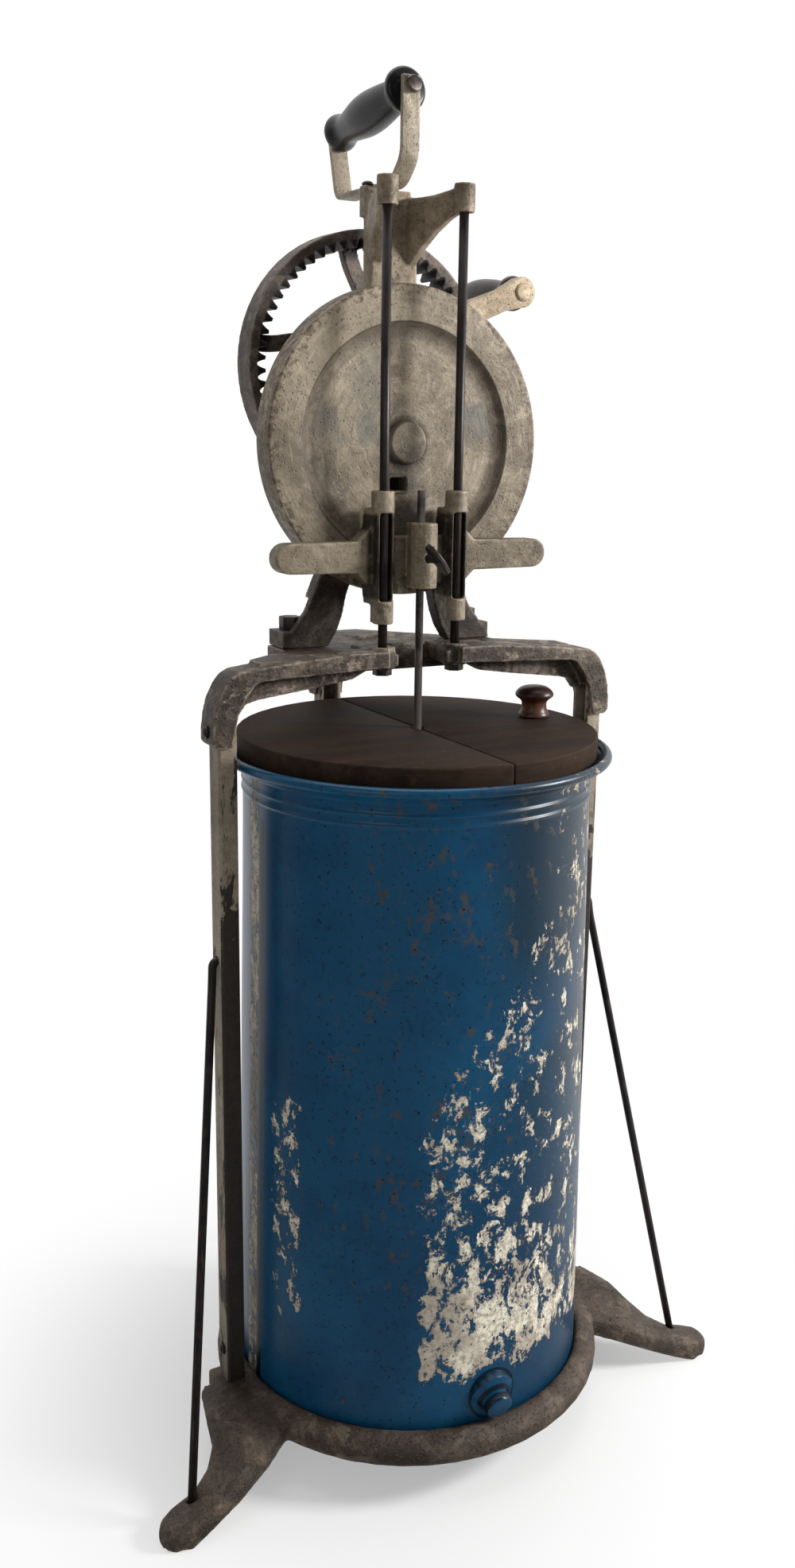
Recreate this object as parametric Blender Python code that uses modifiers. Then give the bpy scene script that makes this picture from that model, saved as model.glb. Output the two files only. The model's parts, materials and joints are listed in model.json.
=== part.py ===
"""A hand cranked butter churn: a tall can in a three-legged iron frame, with a geared flywheel above it.

The frame of reference: metres, +Z up, and the floor is Z = 0. The churn's front, where the flywheel's face, the
guide rods and the drain are, looks along -Y. Every piece is modelled about the can's upright axis, and in the end
the whole churn is moved back so that the origin lies under the middle of its outer box.
"""

import math

import bmesh
import bpy
from mathutils import Matrix, Vector

# Fits shared by every piece
RUN = 0.0003
OVERRUN = 0.003
WELD = 0.000001
SHARP_ANGLE = math.radians(35)
FLAT_ANGLE = math.radians(0.1)
ROUND_STEPS = 16
SMALL_STEPS = 8
CAN_STEPS = 48

# The can
CAN_FLOOR_Z = 0.0420
CAN_FOOT_R = 0.1307
CAN_NECK_R = 0.1236
CAN_NECK_Z = 0.4800
CAN_WALL = 0.0011
CAN_LEDGE_R = 0.1296
CAN_LEDGE_Z = 0.5090
FLARE_START_Z = 0.5000
NECK_BEAD_DEPTH = 0.0010
NECK_BEAD_PITCH = 0.0070
RIM_R = 0.1348
RIM_Z = 0.5107
RIM_BEAD_R = 0.0035

# The drain, low on the front of the can
DRAIN_Z = 0.0690
DRAIN_TILT = math.radians(20)
DRAIN_TURN = math.radians(-91.5)
DRAIN_FLANGE_R = 0.0170
DRAIN_FLANGE_OUT = 0.0035
DRAIN_NECK_R = 0.0078
DRAIN_NECK_OUT = 0.0100
DRAIN_BORE_R = 0.0060
DRAIN_CAP_R = 0.0103
DRAIN_CAP_FRONT = 0.0135
DRAIN_CAP_END = 0.0030

# The lid, in two halves that meet along the Y axis
LID_R = 0.1280
LID_TOP_Z = 0.5257
LID_ROD_GAP = 0.0018
KNOB_X = 0.0990
KNOB_H = 0.0240
KNOB_DOME_R = 0.0145
KNOB_WAIST_R = 0.0090
KNOB_BASE_R = 0.0113

# The uprights' reach, which the base and the bridge follow
UPRIGHT_OUT_R = 0.1540
UPRIGHT_DEPTH = 0.0130
UPRIGHT_IN_R = UPRIGHT_OUT_R - UPRIGHT_DEPTH
SOCKET_WALL = 0.0070

# The base casting
COLLAR_GAP = 0.0008
COLLAR_TOP_Z = 0.0520
COLLAR_OUT_R = 0.1480
COLLAR_LOW_Z = 0.0300
LEDGE_BORE_R = 0.1180
SOCKET_STEP = 0.0030
SOCKET_R = UPRIGHT_OUT_R + SOCKET_WALL
SOCKET_HALF_WIDTH = 0.0150
LEG_TOE_R = 0.0155
BRACE_FOOT = (0.2082, -0.0746)
BRACE_FOOT_DEEP_Z = 0.0080
REAR_TOE_Y = 0.2300

# The three uprights: channels with their open side towards the can
UPRIGHT_WIDTH = 0.0180
UPRIGHT_WALL = 0.0030
UPRIGHT_EASE = 0.0015
UPRIGHT_LOW_Z = 0.0510
UPRIGHT_TOP_Z = 0.5480
RIVET_R = 0.0025
RIVET_HEAD_R = 0.0048
RIVET_HEAD_H = 0.0028
LOW_RIVET_Z = 0.0750
HIGH_RIVET_Z = 0.5360
LUG_TOP_Z = 0.0860
LUG_DEPTH = 0.0068

# The three stay rods that brace the uprights
BRACE_R = 0.0030
BRACE_HOOK_Z = 0.3760
BRACE_BEND_R = 0.0060

# The top bridge
BRIDGE_PLATE_Z = 0.5720
BRIDGE_TOP_Z = 0.5800
LIP_TOP_Z = 0.5830
LIP_FRONT_Y = -0.0110
ARM_HALF_WIDTH = 0.0120
CLAW_WALL = 0.0045
CLAW_OUT_R = UPRIGHT_OUT_R + CLAW_WALL
CLAW_LOW_Z = 0.5260
RIB_WIDTH = 0.0080
RIB_STEP = 0.0030
ROD_X = 0.0289
ROD_R = 0.0032
ROD_BOSS_R = 0.0090
ROD_BOSS_LOW_Z = 0.5700
ROD_BOSS_TOP_Z = 0.5850
ROD_NUT_LOW_Z = 0.5655
ROD_NUT_R = 0.0068
NOTCH_HALF_WIDTH = 0.0195
NOTCH_Y = 0.0240
PAD_IN_X = 0.0580
PAD_OUT_X = 0.0855
PAD_FRONT_Y = 0.0430
PAD_REAR_Y = 0.0690
TAIL_WIDE_X = 0.0400
TAIL_WIDE_Y = 0.0920

# The head frame, which carries both shafts
HEAD_FRONT_Y = 0.0430
HEAD_THICK = 0.0130
HUB_REAR_Y = 0.0757
LEG_WEB = 0.0068
LEG_WEB_TOP_Z = 0.6150
FOOT_TOP_Z = 0.5920
FRAME_BOLT_X = 0.0720
FRAME_BOLT_Y = 0.0588
FRAME_BOLT_R = 0.0040
FRAME_BOLT_HEAD_R = 0.0080
FRAME_BOLT_HEAD_H = 0.0090
FRAME_BOLT_END = 0.0030
FRAME_NUT_H = 0.0065
NECK_HALF_WIDTH = 0.0180
NECK_FRONT_TOP_Z = 0.8850
NECK_TOP_Z = 0.8897
NECK_DEPTH = 0.0180
TOP_BOSS_R = 0.0072
TOP_BOSS_LOW_Z = 0.8720
TOP_BOSS_TOP_Z = 0.8900
ROD_TOP_Z = 0.8893
STRAP_LUG_X = 0.0130
STRAP_LUG_Y = 0.0590

# The flywheel: disc, shaft, pinion and crank pin
AXLE_Z = 0.7226
AXLE_R = 0.0070
DISC_R = 0.1045
DISC_FRONT_Y = 0.0197
DISC_REAR_Y = 0.0411
DISC_EASE = 0.0015
RIM_FACE_R = 0.0797
COVE_WIDTH = 0.0110
RECESS_DEPTH = 0.0042
WEB_REAR_Y = 0.0330
REAR_RIM_R = 0.0860
REAR_HUB_R = 0.0220
DISC_HUB_R = 0.0145
DISC_HUB_FRONT_Y = 0.0186
SLOT_WIDTH = 0.0127
SLOT_HEIGHT = 0.0087
SLOT_LOW_Z = 0.6900
SLOT_BORDER = 0.0025
CRANK_PIN_R = 0.0050
CRANK_THROW = 0.0764
CRANK_PIN_FRONT_Y = 0.0184
CRANK_PIN_HEAD_R = 0.0080
CRANK_PIN_HEAD_H = 0.0030

# The gears: an internal ring that turns the pinion the same way
MODULE = 0.0028056
RING_TEETH = 60
PINION_TEETH = 24
PRESSURE_ANGLE = math.radians(20)
TOOTH_SLACK = 0.00025
ADDENDUM_SHARE = 1.0
DEDENDUM_SHARE = 1.25
RING_OUT_R = 0.0938
RING_FRONT_Y = 0.0762
RING_REAR_Y = 0.0981
PINION_FRONT_Y = 0.0770
PINION_REAR_Y = 0.0885
SPOKE_COUNT = 5
SPOKE_WIDTH = 0.0112
SPOKE_FRONT_Y = 0.0900
SPOKE_TURN = math.radians(97.3)
RING_HUB_R = 0.0160
SPINDLE_R = 0.0075
SPINDLE_FRONT_Y = 0.0435

# The hand crank
CRANK_TURN = math.radians(21.3)
CRANK_R = 0.1837
CRANK_FRONT_Y = 0.1440
CRANK_THICK = 0.0120
CRANK_HUB_R = 0.0130
CRANK_EYE_R = 0.0119
CRANK_BOSS_R = 0.0118
CRANK_GRIP_LENGTH = 0.0980
CRANK_GRIP_R = 0.0145
CRANK_FLANGE_R = 0.0138
GRIP_PIN_R = 0.0040
GRIP_PIN_HEAD_R = 0.0075
GRIP_PIN_HEAD_H = 0.0040

# The crosshead, which slides on the guide rods, with its yoke block, dasher rod and thumb screw
COLLAR_R = 0.0072
UP_COLLAR_LOW_Z = 0.6760
UP_COLLAR_TOP_Z = 0.6910
DOWN_COLLAR_LOW_Z = 0.6010
DOWN_COLLAR_TOP_Z = 0.6170
TROUGH_R = 0.0046
WING_LOW_Z = 0.6355
WING_TOP_Z = 0.6570
WING_REACH = 0.1070
WING_TAPER = 0.0006
WING_FRONT_Y = 0.0040
WING_REAR_Y = 0.0172
YOKE_SLOT_FRONT_Y = 0.0090
YOKE_SLOT_HALF_HEIGHT = 0.0068
YOKE_BLOCK_HALF = 0.0090
YOKE_PIN_HOLE_R = 0.0055
CLAMP_R = 0.0095
CLAMP_LOW_Z = 0.6250
CLAMP_TOP_Z = 0.6695
CLAMP_FRONT_Y = -0.0140
ROD_WEB_LOW_Z = 0.6330
ROD_WEB_TOP_Z = 0.6600
DASHER_ROD_R = 0.00275
DASHER_ROD_TOP_Z = 0.6910
SCREW_R = 0.0030
SCREW_Z = 0.6460
THUMB_REACH = 0.0130
THUMB_WIDTH = 0.0120
THUMB_THICK = 0.0035
THUMB_CENTRE_Y = -0.0240
THUMB_TURN = math.radians(-50)

# The dasher
DASHER_R = 0.1050
DASHER_LOW_Z = 0.0560
DASHER_THICK = 0.0120
DASHER_HUB_R = 0.0160
DASHER_HUB_TOP_Z = 0.0860
DASHER_HOLES = 8
DASHER_HOLE_R = 0.0120
DASHER_HOLE_RING_R = 0.0650

# The carrying handle on top
STRAP_WIDTH = 0.0125
STRAP_THICK = 0.0040
STRAP_BASE_Z = 0.8920
STRAP_NEAR_Y = 0.0240
STRAP_FAR_Y = 0.1220
STRAP_FAR_TOP_Y = 0.1340
STRAP_BEND_R = 0.0150
HANDLE_NEAR_Z = 0.9505
HANDLE_DROP = 0.0150
HANDLE_FAR_Z = HANDLE_NEAR_Z - HANDLE_DROP
HANDLE_R = 0.0140
HANDLE_FLANGE_R = 0.0148
FAR_FLANGE_SHARE = 0.88
HANDLE_WAIST_R = 0.0098
HANDLE_ROD_R = 0.0030
HANDLE_HEAD_R = 0.0062
HANDLE_HEAD_H = 0.0030
HANDLE_BOLT_Y = 0.0535
HANDLE_BOLT_R = 0.0030
HANDLE_BOLT_HEAD_R = 0.0055
HANDLE_BOLT_HEAD_H = 0.0035
STRAP_SCREW_R = 0.0022
STRAP_SCREW_HEAD_R = 0.0042
STRAP_SCREW_HEAD_H = 0.0028

FRONT = Vector((0, -1, 0))
REAR = Vector((0, 1, 0))
UP = Vector((0, 0, 1))
PLANES = {
    "XY": Matrix.Identity(4),
    "XZ": Matrix.Rotation(math.radians(90), 4, "X"),
    "YZ": Matrix.Rotation(math.radians(120), 4, Vector((1, 1, 1))),
}


def fresh_collection(name):
    """A new collection in the scene."""
    made = bpy.data.collections.new(name)
    bpy.context.scene.collection.children.link(made)
    return made


def clear_scene():
    """Remove every object of the startup scene."""
    for obj in list(bpy.data.objects):
        bpy.data.objects.remove(obj, do_unlink=True)


clear_scene()
PIECES = fresh_collection("butter churn")
TOOLS = fresh_collection("cutters")


# Shapes


def placed(name, mesh, matrix=None):
    """A new object of the churn that shows this mesh."""
    obj = bpy.data.objects.new(name, mesh)
    obj.matrix_world = matrix or Matrix.Identity(4)
    PIECES.objects.link(obj)
    return obj


def from_bmesh(name, bm):
    """A new object with the bmesh's faces, all pointing outwards."""
    bmesh.ops.recalc_face_normals(bm, faces=bm.faces)
    mesh = bpy.data.meshes.new(name)
    bm.to_mesh(mesh)
    bm.free()
    return placed(name, mesh)


def block(name, low, high):
    """A box between two corners."""
    low = Vector(low)
    high = Vector(high)
    bm = bmesh.new()
    place = Matrix.Translation((low + high) / 2) @ Matrix.Diagonal((*(high - low), 1))
    bmesh.ops.create_cube(bm, size=1, matrix=place)
    return from_bmesh(name, bm)


def facing(point, direction):
    """The placing that carries local +Z along a direction, from a point."""
    turn = UP.rotation_difference(Vector(direction)).to_matrix().to_4x4()
    return Matrix.Translation(point) @ turn


def drum(name, start, end, radius, end_radius=None, sides=ROUND_STEPS):
    """A cylinder or cone between two points."""
    start = Vector(start)
    end = Vector(end)
    bm = bmesh.new()
    bmesh.ops.create_cone(
        bm,
        cap_ends=True,
        segments=sides,
        radius1=radius,
        radius2=radius if end_radius is None else end_radius,
        depth=(end - start).length,
        matrix=facing((start + end) / 2, end - start),
    )
    return from_bmesh(name, bm)


def turned(name, profile, matrix=None, steps=ROUND_STEPS, closed=False):
    """A profile of (radius, height) turned round the local Z axis; it runs down its outer side."""
    bm = bmesh.new()
    points = [bm.verts.new((radius, 0, height)) for radius, height in profile]
    for near, far in zip(points, points[1:]):
        bm.edges.new((near, far))
    if closed:
        bm.edges.new((points[-1], points[0]))
    mesh = bpy.data.meshes.new(name)
    bm.to_mesh(mesh)
    bm.free()
    obj = placed(name, mesh, matrix)
    screw = obj.modifiers.new("turn", "SCREW")
    screw.steps = steps
    screw.render_steps = steps
    screw.use_merge_vertices = True
    screw.merge_threshold = WELD
    return obj


def baked(obj):
    """The same object with its modifiers applied to its mesh."""
    bpy.context.view_layer.update()
    graph = bpy.context.evaluated_depsgraph_get()
    mesh = bpy.data.meshes.new_from_object(obj.evaluated_get(graph))
    obj.modifiers.clear()
    obj.data = mesh
    return obj


def from_curve(name, curve):
    """A closed mesh object made from a curve, with its caps welded on."""
    helper = bpy.data.objects.new(name, curve)
    TOOLS.objects.link(helper)
    bpy.context.view_layer.update()
    graph = bpy.context.evaluated_depsgraph_get()
    mesh = bpy.data.meshes.new_from_object(helper.evaluated_get(graph))
    bpy.data.objects.remove(helper, do_unlink=True)
    bm = bmesh.new()
    bm.from_mesh(mesh)
    bmesh.ops.remove_doubles(bm, verts=bm.verts, dist=WELD)
    bmesh.ops.dissolve_limit(bm, angle_limit=FLAT_ANGLE, verts=bm.verts, edges=bm.edges)
    return from_bmesh(name, bm)


def curve_of(name, points, cyclic):
    """A curve with one straight-sided spline through the points."""
    curve = bpy.data.curves.new(name, "CURVE")
    spline = curve.splines.new("POLY")
    spline.points.add(len(points) - 1)
    for place, point in zip(spline.points, points):
        place.co = (*point, 1) if len(point) == 3 else (*point, 0, 1)
    spline.use_cyclic_u = cyclic
    return curve


def slab(name, outline, low, high, plane="XY"):
    """A flat outline with thickness: low and high lie along the axis square to its plane."""
    curve = curve_of(name, outline, True)
    curve.dimensions = "2D"
    curve.fill_mode = "BOTH"
    curve.extrude = (high - low) / 2
    obj = from_curve(name, curve)
    normal = UP if plane == "XY" else REAR if plane == "XZ" else Vector((1, 0, 0))
    obj.data.transform(Matrix.Translation(normal * ((low + high) / 2)) @ PLANES[plane])
    return obj


def wire(name, route, radius):
    """A round rod along a route."""
    curve = curve_of(name, route, False)
    curve.dimensions = "3D"
    curve.bevel_depth = radius
    curve.bevel_resolution = 2
    curve.use_fill_caps = True
    return from_curve(name, curve)


def loft(name, rings):
    """A closed skin over a row of rings that each have as many points."""
    bm = bmesh.new()
    loops = [[bm.verts.new(point) for point in ring] for ring in rings]
    for near, far in zip(loops, loops[1:]):
        for at in range(len(near)):
            after = (at + 1) % len(near)
            bm.faces.new((near[at], near[after], far[after], far[at]))
    bm.faces.new(loops[0])
    bm.faces.new(loops[-1])
    return from_bmesh(name, bm)


def pillow(centre, across, half_width, low, high, square_share=0.55, sides=12):
    """An upright ring with soft corners: across is its level direction, low and high its Z range."""
    across = Vector((*across, 0)).normalized()
    centre = Vector((*centre, (low + high) / 2))
    ring = []
    for at in range(sides):
        angle = math.tau * at / sides
        wide = math.copysign(abs(math.cos(angle)) ** square_share, math.cos(angle))
        tall = math.copysign(abs(math.sin(angle)) ** square_share, math.sin(angle))
        ring.append(centre + across * half_width * wide + UP * (high - low) / 2 * tall)
    return ring


def arc(centre, radius, start, end, steps):
    """Points on an arc in a plane, from one angle to another."""
    turn = (end - start) / steps
    return [
        (centre[0] + radius * math.cos(start + turn * at), centre[1] + radius * math.sin(start + turn * at))
        for at in range(steps + 1)
    ]


def soft_path(corners, radius, steps=5):
    """A path through the corners, each rounded by a curve that starts about one radius before it."""
    path = [Vector(corners[0])]
    for before, corner, after in zip(corners, corners[1:], corners[2:]):
        before, corner, after = Vector(before), Vector(corner), Vector(after)
        reach = min(radius, (corner - before).length / 2, (after - corner).length / 2)
        start = corner + (before - corner).normalized() * reach
        end = corner + (after - corner).normalized() * reach
        for at in range(steps + 1):
            share = at / steps
            path.append(start.lerp(corner, share).lerp(corner.lerp(end, share), share))
    path.append(Vector(corners[-1]))
    return path


def ribbon(path, thickness):
    """The outline of a bent bar of even thickness along a flat path."""
    left = []
    right = []
    for at, point in enumerate(path):
        ahead = path[min(at + 1, len(path) - 1)]
        behind = path[max(at - 1, 0)]
        along = (ahead - behind).normalized()
        side = Vector((-along.y, along.x)) * thickness / 2
        left.append(point + side)
        right.append(point - side)
    return left + right[::-1]


def as_tool(obj):
    """Keep an object as a hidden helper of a Boolean."""
    PIECES.objects.unlink(obj)
    TOOLS.objects.link(obj)
    obj.hide_render = True
    obj.display_type = "WIRE"


def combined(obj, others, operation):
    """Add one Boolean for each of the other objects."""
    for other in others:
        change = obj.modifiers.new(other.name, "BOOLEAN")
        change.operation = operation
        change.object = other
        as_tool(other)
    return obj


def join(obj, *others):
    """The object with the others joined to it."""
    return combined(obj, others, "UNION")


def cut(obj, *others):
    """The object with the others cut from it."""
    return combined(obj, others, "DIFFERENCE")


def turned_copy(name, obj, angle):
    """A copy that shares the mesh, turned round the can's axis."""
    return placed(name, obj.data, Matrix.Rotation(angle, 4, "Z") @ obj.matrix_world)


def material(name, colour, roughness, metallic):
    """A plain surface."""
    made = bpy.data.materials.new(name)
    made.use_nodes = True
    shader = made.node_tree.nodes["Principled BSDF"]
    shader.inputs["Base Color"].default_value = (*colour, 1)
    shader.inputs["Roughness"].default_value = roughness
    shader.inputs["Metallic"].default_value = metallic
    return made


def pivot(name, place, carrier=None):
    """An empty on a joint's axis, which carries the pieces that move about it."""
    empty = bpy.data.objects.new(name, None)
    empty.location = place
    PIECES.objects.link(empty)
    bpy.context.view_layer.update()
    if carrier:
        carry(carrier, empty)
    return empty


def carry(carrier, *pieces):
    """Parent the pieces to the carrier where they stand."""
    bpy.context.view_layer.update()
    for piece in pieces:
        place = piece.matrix_world.copy()
        piece.parent = carrier
        piece.matrix_parent_inverse = carrier.matrix_world.inverted()
        piece.matrix_world = place


# The can, its drain and its lid


def can_radius(height):
    """The can's outer radius at a height, below its neck."""
    share = (height - CAN_FLOOR_Z) / (CAN_NECK_Z - CAN_FLOOR_Z)
    return CAN_FOOT_R + (CAN_NECK_R - CAN_FOOT_R) * share


def make_can():
    """A tapered can with a flared mouth, a rolled rim and two beads under it, and the floor in its foot."""
    ledge = (CAN_LEDGE_R, CAN_LEDGE_Z)
    inner_neck = CAN_NECK_R - CAN_WALL
    profile = [
        (CAN_FOOT_R - CAN_WALL, CAN_FLOOR_Z),
        (inner_neck, CAN_NECK_Z),
        (inner_neck, FLARE_START_Z),
        (inner_neck + (CAN_LEDGE_R - inner_neck) / 3, CAN_LEDGE_Z - 2 * CAN_WALL),
        ledge,
    ]
    profile += arc((RIM_R, RIM_Z), RIM_BEAD_R, math.radians(190), math.radians(-60), 5)
    profile += [(CAN_LEDGE_R + CAN_WALL, CAN_LEDGE_Z - 2 * CAN_WALL), (CAN_NECK_R + CAN_WALL, FLARE_START_Z)]
    for lower in range(2):
        middle = FLARE_START_Z - (lower + 1) * NECK_BEAD_PITCH
        profile += [
            (CAN_NECK_R, middle + NECK_BEAD_PITCH / 3),
            (CAN_NECK_R + NECK_BEAD_DEPTH, middle),
            (CAN_NECK_R, middle - NECK_BEAD_PITCH / 3),
        ]
    profile += [(CAN_NECK_R, CAN_NECK_Z), (CAN_FOOT_R, CAN_FLOOR_Z)]
    can = turned("can", profile, steps=CAN_STEPS, closed=True)
    floor_r = CAN_FOOT_R - CAN_WALL - RUN
    drum("can_floor", (0, 0, CAN_FLOOR_Z), (0, 0, CAN_FLOOR_Z + CAN_WALL), floor_r, sides=CAN_STEPS)
    bore = drum("drain_bore_in_can", drain_point(-DRAIN_FLANGE_R), drain_point(DRAIN_NECK_R), DRAIN_BORE_R)
    return cut(can, bore)


def drain_direction():
    """The way the drain points: out and a little down."""
    level = Vector((math.cos(DRAIN_TURN), math.sin(DRAIN_TURN), 0))
    return level * math.cos(DRAIN_TILT) - UP * math.sin(DRAIN_TILT)


def drain_point(out):
    """A point on the drain's axis, this far out from the can's wall."""
    level = Vector((math.cos(DRAIN_TURN), math.sin(DRAIN_TURN), 0))
    return level * can_radius(DRAIN_Z) + UP * DRAIN_Z + drain_direction() * out


def make_drain():
    """The drain's flanged spout, seated on the can's wall, and its screw cap."""
    place = facing(drain_point(0), drain_direction())
    inside = -2 * CAN_WALL - DRAIN_FLANGE_R * math.sin(DRAIN_TILT)
    spout = turned(
        "drain_spout",
        [
            (0, DRAIN_NECK_OUT),
            (DRAIN_NECK_R, DRAIN_NECK_OUT),
            (DRAIN_NECK_R, DRAIN_FLANGE_OUT + DRAIN_CAP_END),
            (DRAIN_NECK_R + DRAIN_CAP_END, DRAIN_FLANGE_OUT),
            (DRAIN_FLANGE_R, 0),
            (DRAIN_FLANGE_R, inside),
            (0, inside),
        ],
        place,
    )
    wall = drum(
        "can_wall_from_spout",
        (0, 0, CAN_FLOOR_Z),
        (0, 0, CAN_NECK_Z),
        CAN_FOOT_R + RUN,
        CAN_NECK_R + RUN,
        CAN_STEPS,
    )
    bore = drum("drain_bore", drain_point(inside - OVERRUN), drain_point(DRAIN_NECK_OUT + OVERRUN), DRAIN_BORE_R)
    cut(spout, wall, bore)
    mouth = DRAIN_NECK_OUT + RUN
    back = DRAIN_FLANGE_OUT + DRAIN_CAP_END + RUN
    cap = turned(
        "drain_cap",
        [
            (0, DRAIN_CAP_FRONT),
            (DRAIN_CAP_R - DISC_EASE, DRAIN_CAP_FRONT),
            (DRAIN_CAP_R, DRAIN_CAP_FRONT - DISC_EASE),
            (DRAIN_CAP_R, back),
            (DRAIN_NECK_R + RUN, back),
            (DRAIN_NECK_R + RUN, mouth),
            (0, mouth),
        ],
        place,
    )
    return spout, cap


def half_lid(name, side):
    """One half of the wooden lid, with half of the hole for the dasher's rod."""
    hole = DASHER_ROD_R + LID_ROD_GAP
    lean = math.asin(RUN / LID_R)
    rim = arc((0, 0), LID_R, -math.pi / 2 + lean, math.pi / 2 - lean, CAN_STEPS // 2)
    notch_lean = math.asin(RUN / hole)
    notch = arc((0, 0), hole, math.pi / 2 - notch_lean, notch_lean - math.pi / 2, 8)
    outline = [(side * x, y) for x, y in rim + notch]
    return slab(name, outline, CAN_LEDGE_Z + RUN, LID_TOP_Z)


def make_knob():
    """The turned wooden knob on the right half of the lid."""
    low = LID_TOP_Z + RUN
    top = LID_TOP_Z + KNOB_H
    dome_edge = top - KNOB_H / 3
    return turned(
        "lid_knob",
        [
            (0, top),
            (KNOB_DOME_R / 2, top - KNOB_H / 20),
            (KNOB_DOME_R * 0.85, top - KNOB_H / 8),
            (KNOB_DOME_R, dome_edge + KNOB_H / 16),
            (KNOB_DOME_R * 0.9, dome_edge - KNOB_H / 20),
            (KNOB_WAIST_R, dome_edge - KNOB_H / 6),
            (KNOB_WAIST_R, dome_edge - KNOB_H / 4),
            (KNOB_BASE_R, low + KNOB_H / 12),
            (KNOB_BASE_R, low),
            (0, low),
        ],
        Matrix.Translation((KNOB_X, 0, 0)),
    )


# The base and the uprights


def leg_loft(name, stations):
    """A leg through stations of (x, y, half width, low, high), each square to the way on."""
    rings = []
    for at, (x, y, half_width, low, high) in enumerate(stations):
        ahead = stations[min(at + 1, len(stations) - 1)]
        behind = stations[max(at - 1, 0)]
        along = Vector((ahead[0] - behind[0], ahead[1] - behind[1]))
        rings.append(pillow((x, y), (-along.y, along.x), half_width, low, high))
    return loft(name, rings)


def front_leg_stations(side):
    """The stations of a front leg: out of the collar beside its upright, then forward to the toe."""
    toe_x = BRACE_FOOT[0] + LEG_TOE_R * 0.55
    toe_y = BRACE_FOOT[1] - LEG_TOE_R * 0.45
    under = -OVERRUN
    low = COLLAR_LOW_Z
    top = COLLAR_TOP_Z
    root = (COLLAR_OUT_R - LEG_TOE_R * 0.7, -LEG_TOE_R * 0.6)
    shares = [
        # share of the way to the toe along x and y, half width, low and high as shares of their sizes
        (0.00, 0.00, 2.35, 1.04, 0.95),
        (0.17, 0.46, 2.05, 0.96, 0.94),
        (0.36, 0.72, 1.45, 0.75, 0.83),
        (0.58, 0.88, 1.08, 0.43, 0.60),
        (0.80, 0.96, 0.92, 0.12, 0.43),
    ]
    stations = []
    for share_x, share_y, wide, deep, tall in shares:
        x = root[0] + (toe_x - root[0]) * share_x
        y = root[1] + (toe_y - root[1]) * share_y
        stations.append((side * x, y, LEG_TOE_R * wide, low * deep, top * tall))
    stations += [
        (side * toe_x, toe_y, LEG_TOE_R, under, LEG_TOE_R * 1.15),
        (side * (toe_x + LEG_TOE_R * 0.7), toe_y - LEG_TOE_R * 0.1, LEG_TOE_R * 0.72, under, LEG_TOE_R),
        (side * (toe_x + LEG_TOE_R), toe_y - LEG_TOE_R * 0.15, LEG_TOE_R * 0.35, under / 2, LEG_TOE_R * 0.75),
    ]
    return stations


def rear_leg_stations():
    """The stations of the rear leg, straight back from the collar."""
    under = -OVERRUN
    start = COLLAR_OUT_R - LEG_TOE_R * 0.7
    toe = REAR_TOE_Y - LEG_TOE_R
    shares = [(0.0, 2.2, 1.04, 0.95), (0.3, 1.6, 0.9, 0.9), (0.55, 1.15, 0.55, 0.66), (0.8, 0.92, 0.12, 0.43)]
    stations = []
    for share, wide, deep, tall in shares:
        y = start + (toe - start) * share
        stations.append((0, y, LEG_TOE_R * wide, COLLAR_LOW_Z * deep, COLLAR_TOP_Z * tall))
    stations += [
        (0, toe, LEG_TOE_R, under, LEG_TOE_R * 1.15),
        (0, toe + LEG_TOE_R * 0.7, LEG_TOE_R * 0.72, under, LEG_TOE_R),
        (0, toe + LEG_TOE_R, LEG_TOE_R * 0.35, under / 2, LEG_TOE_R * 0.75),
    ]
    return stations


def ring_of_three(make):
    """Call a maker for the right, rear and left uprights' angles."""
    return [make(name, math.radians(degrees)) for name, degrees in (("right", 0), ("rear", 90), ("left", 180))]


def spot(radius, angle, height, aside=0):
    """A point at a radius and an angle round the can, moved aside along the tangent."""
    outward = Vector((math.cos(angle), math.sin(angle), 0))
    tangent = Vector((-math.sin(angle), math.cos(angle), 0))
    return outward * radius + tangent * aside + UP * height


def upright_block(name, angle, radii, half_width, heights):
    """A box that faces out from the can at an angle."""
    made = block(name, (radii[0], -half_width, heights[0]), (radii[1], half_width, heights[1]))
    made.data.transform(Matrix.Rotation(angle, 4, "Z"))
    return made


def brace_line(angle):
    """The foot and the hook of the stay that holds the upright at this angle."""
    hook = spot(UPRIGHT_OUT_R + BRACE_R + RUN, angle, BRACE_HOOK_Z - BRACE_BEND_R)
    if abs(math.cos(angle)) < 0.5:
        foot = Vector((0, REAR_TOE_Y - LEG_TOE_R * 0.8, BRACE_FOOT_DEEP_Z))
    else:
        foot = Vector((math.copysign(BRACE_FOOT[0], math.cos(angle)), BRACE_FOOT[1], BRACE_FOOT_DEEP_Z))
    return foot, hook


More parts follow.
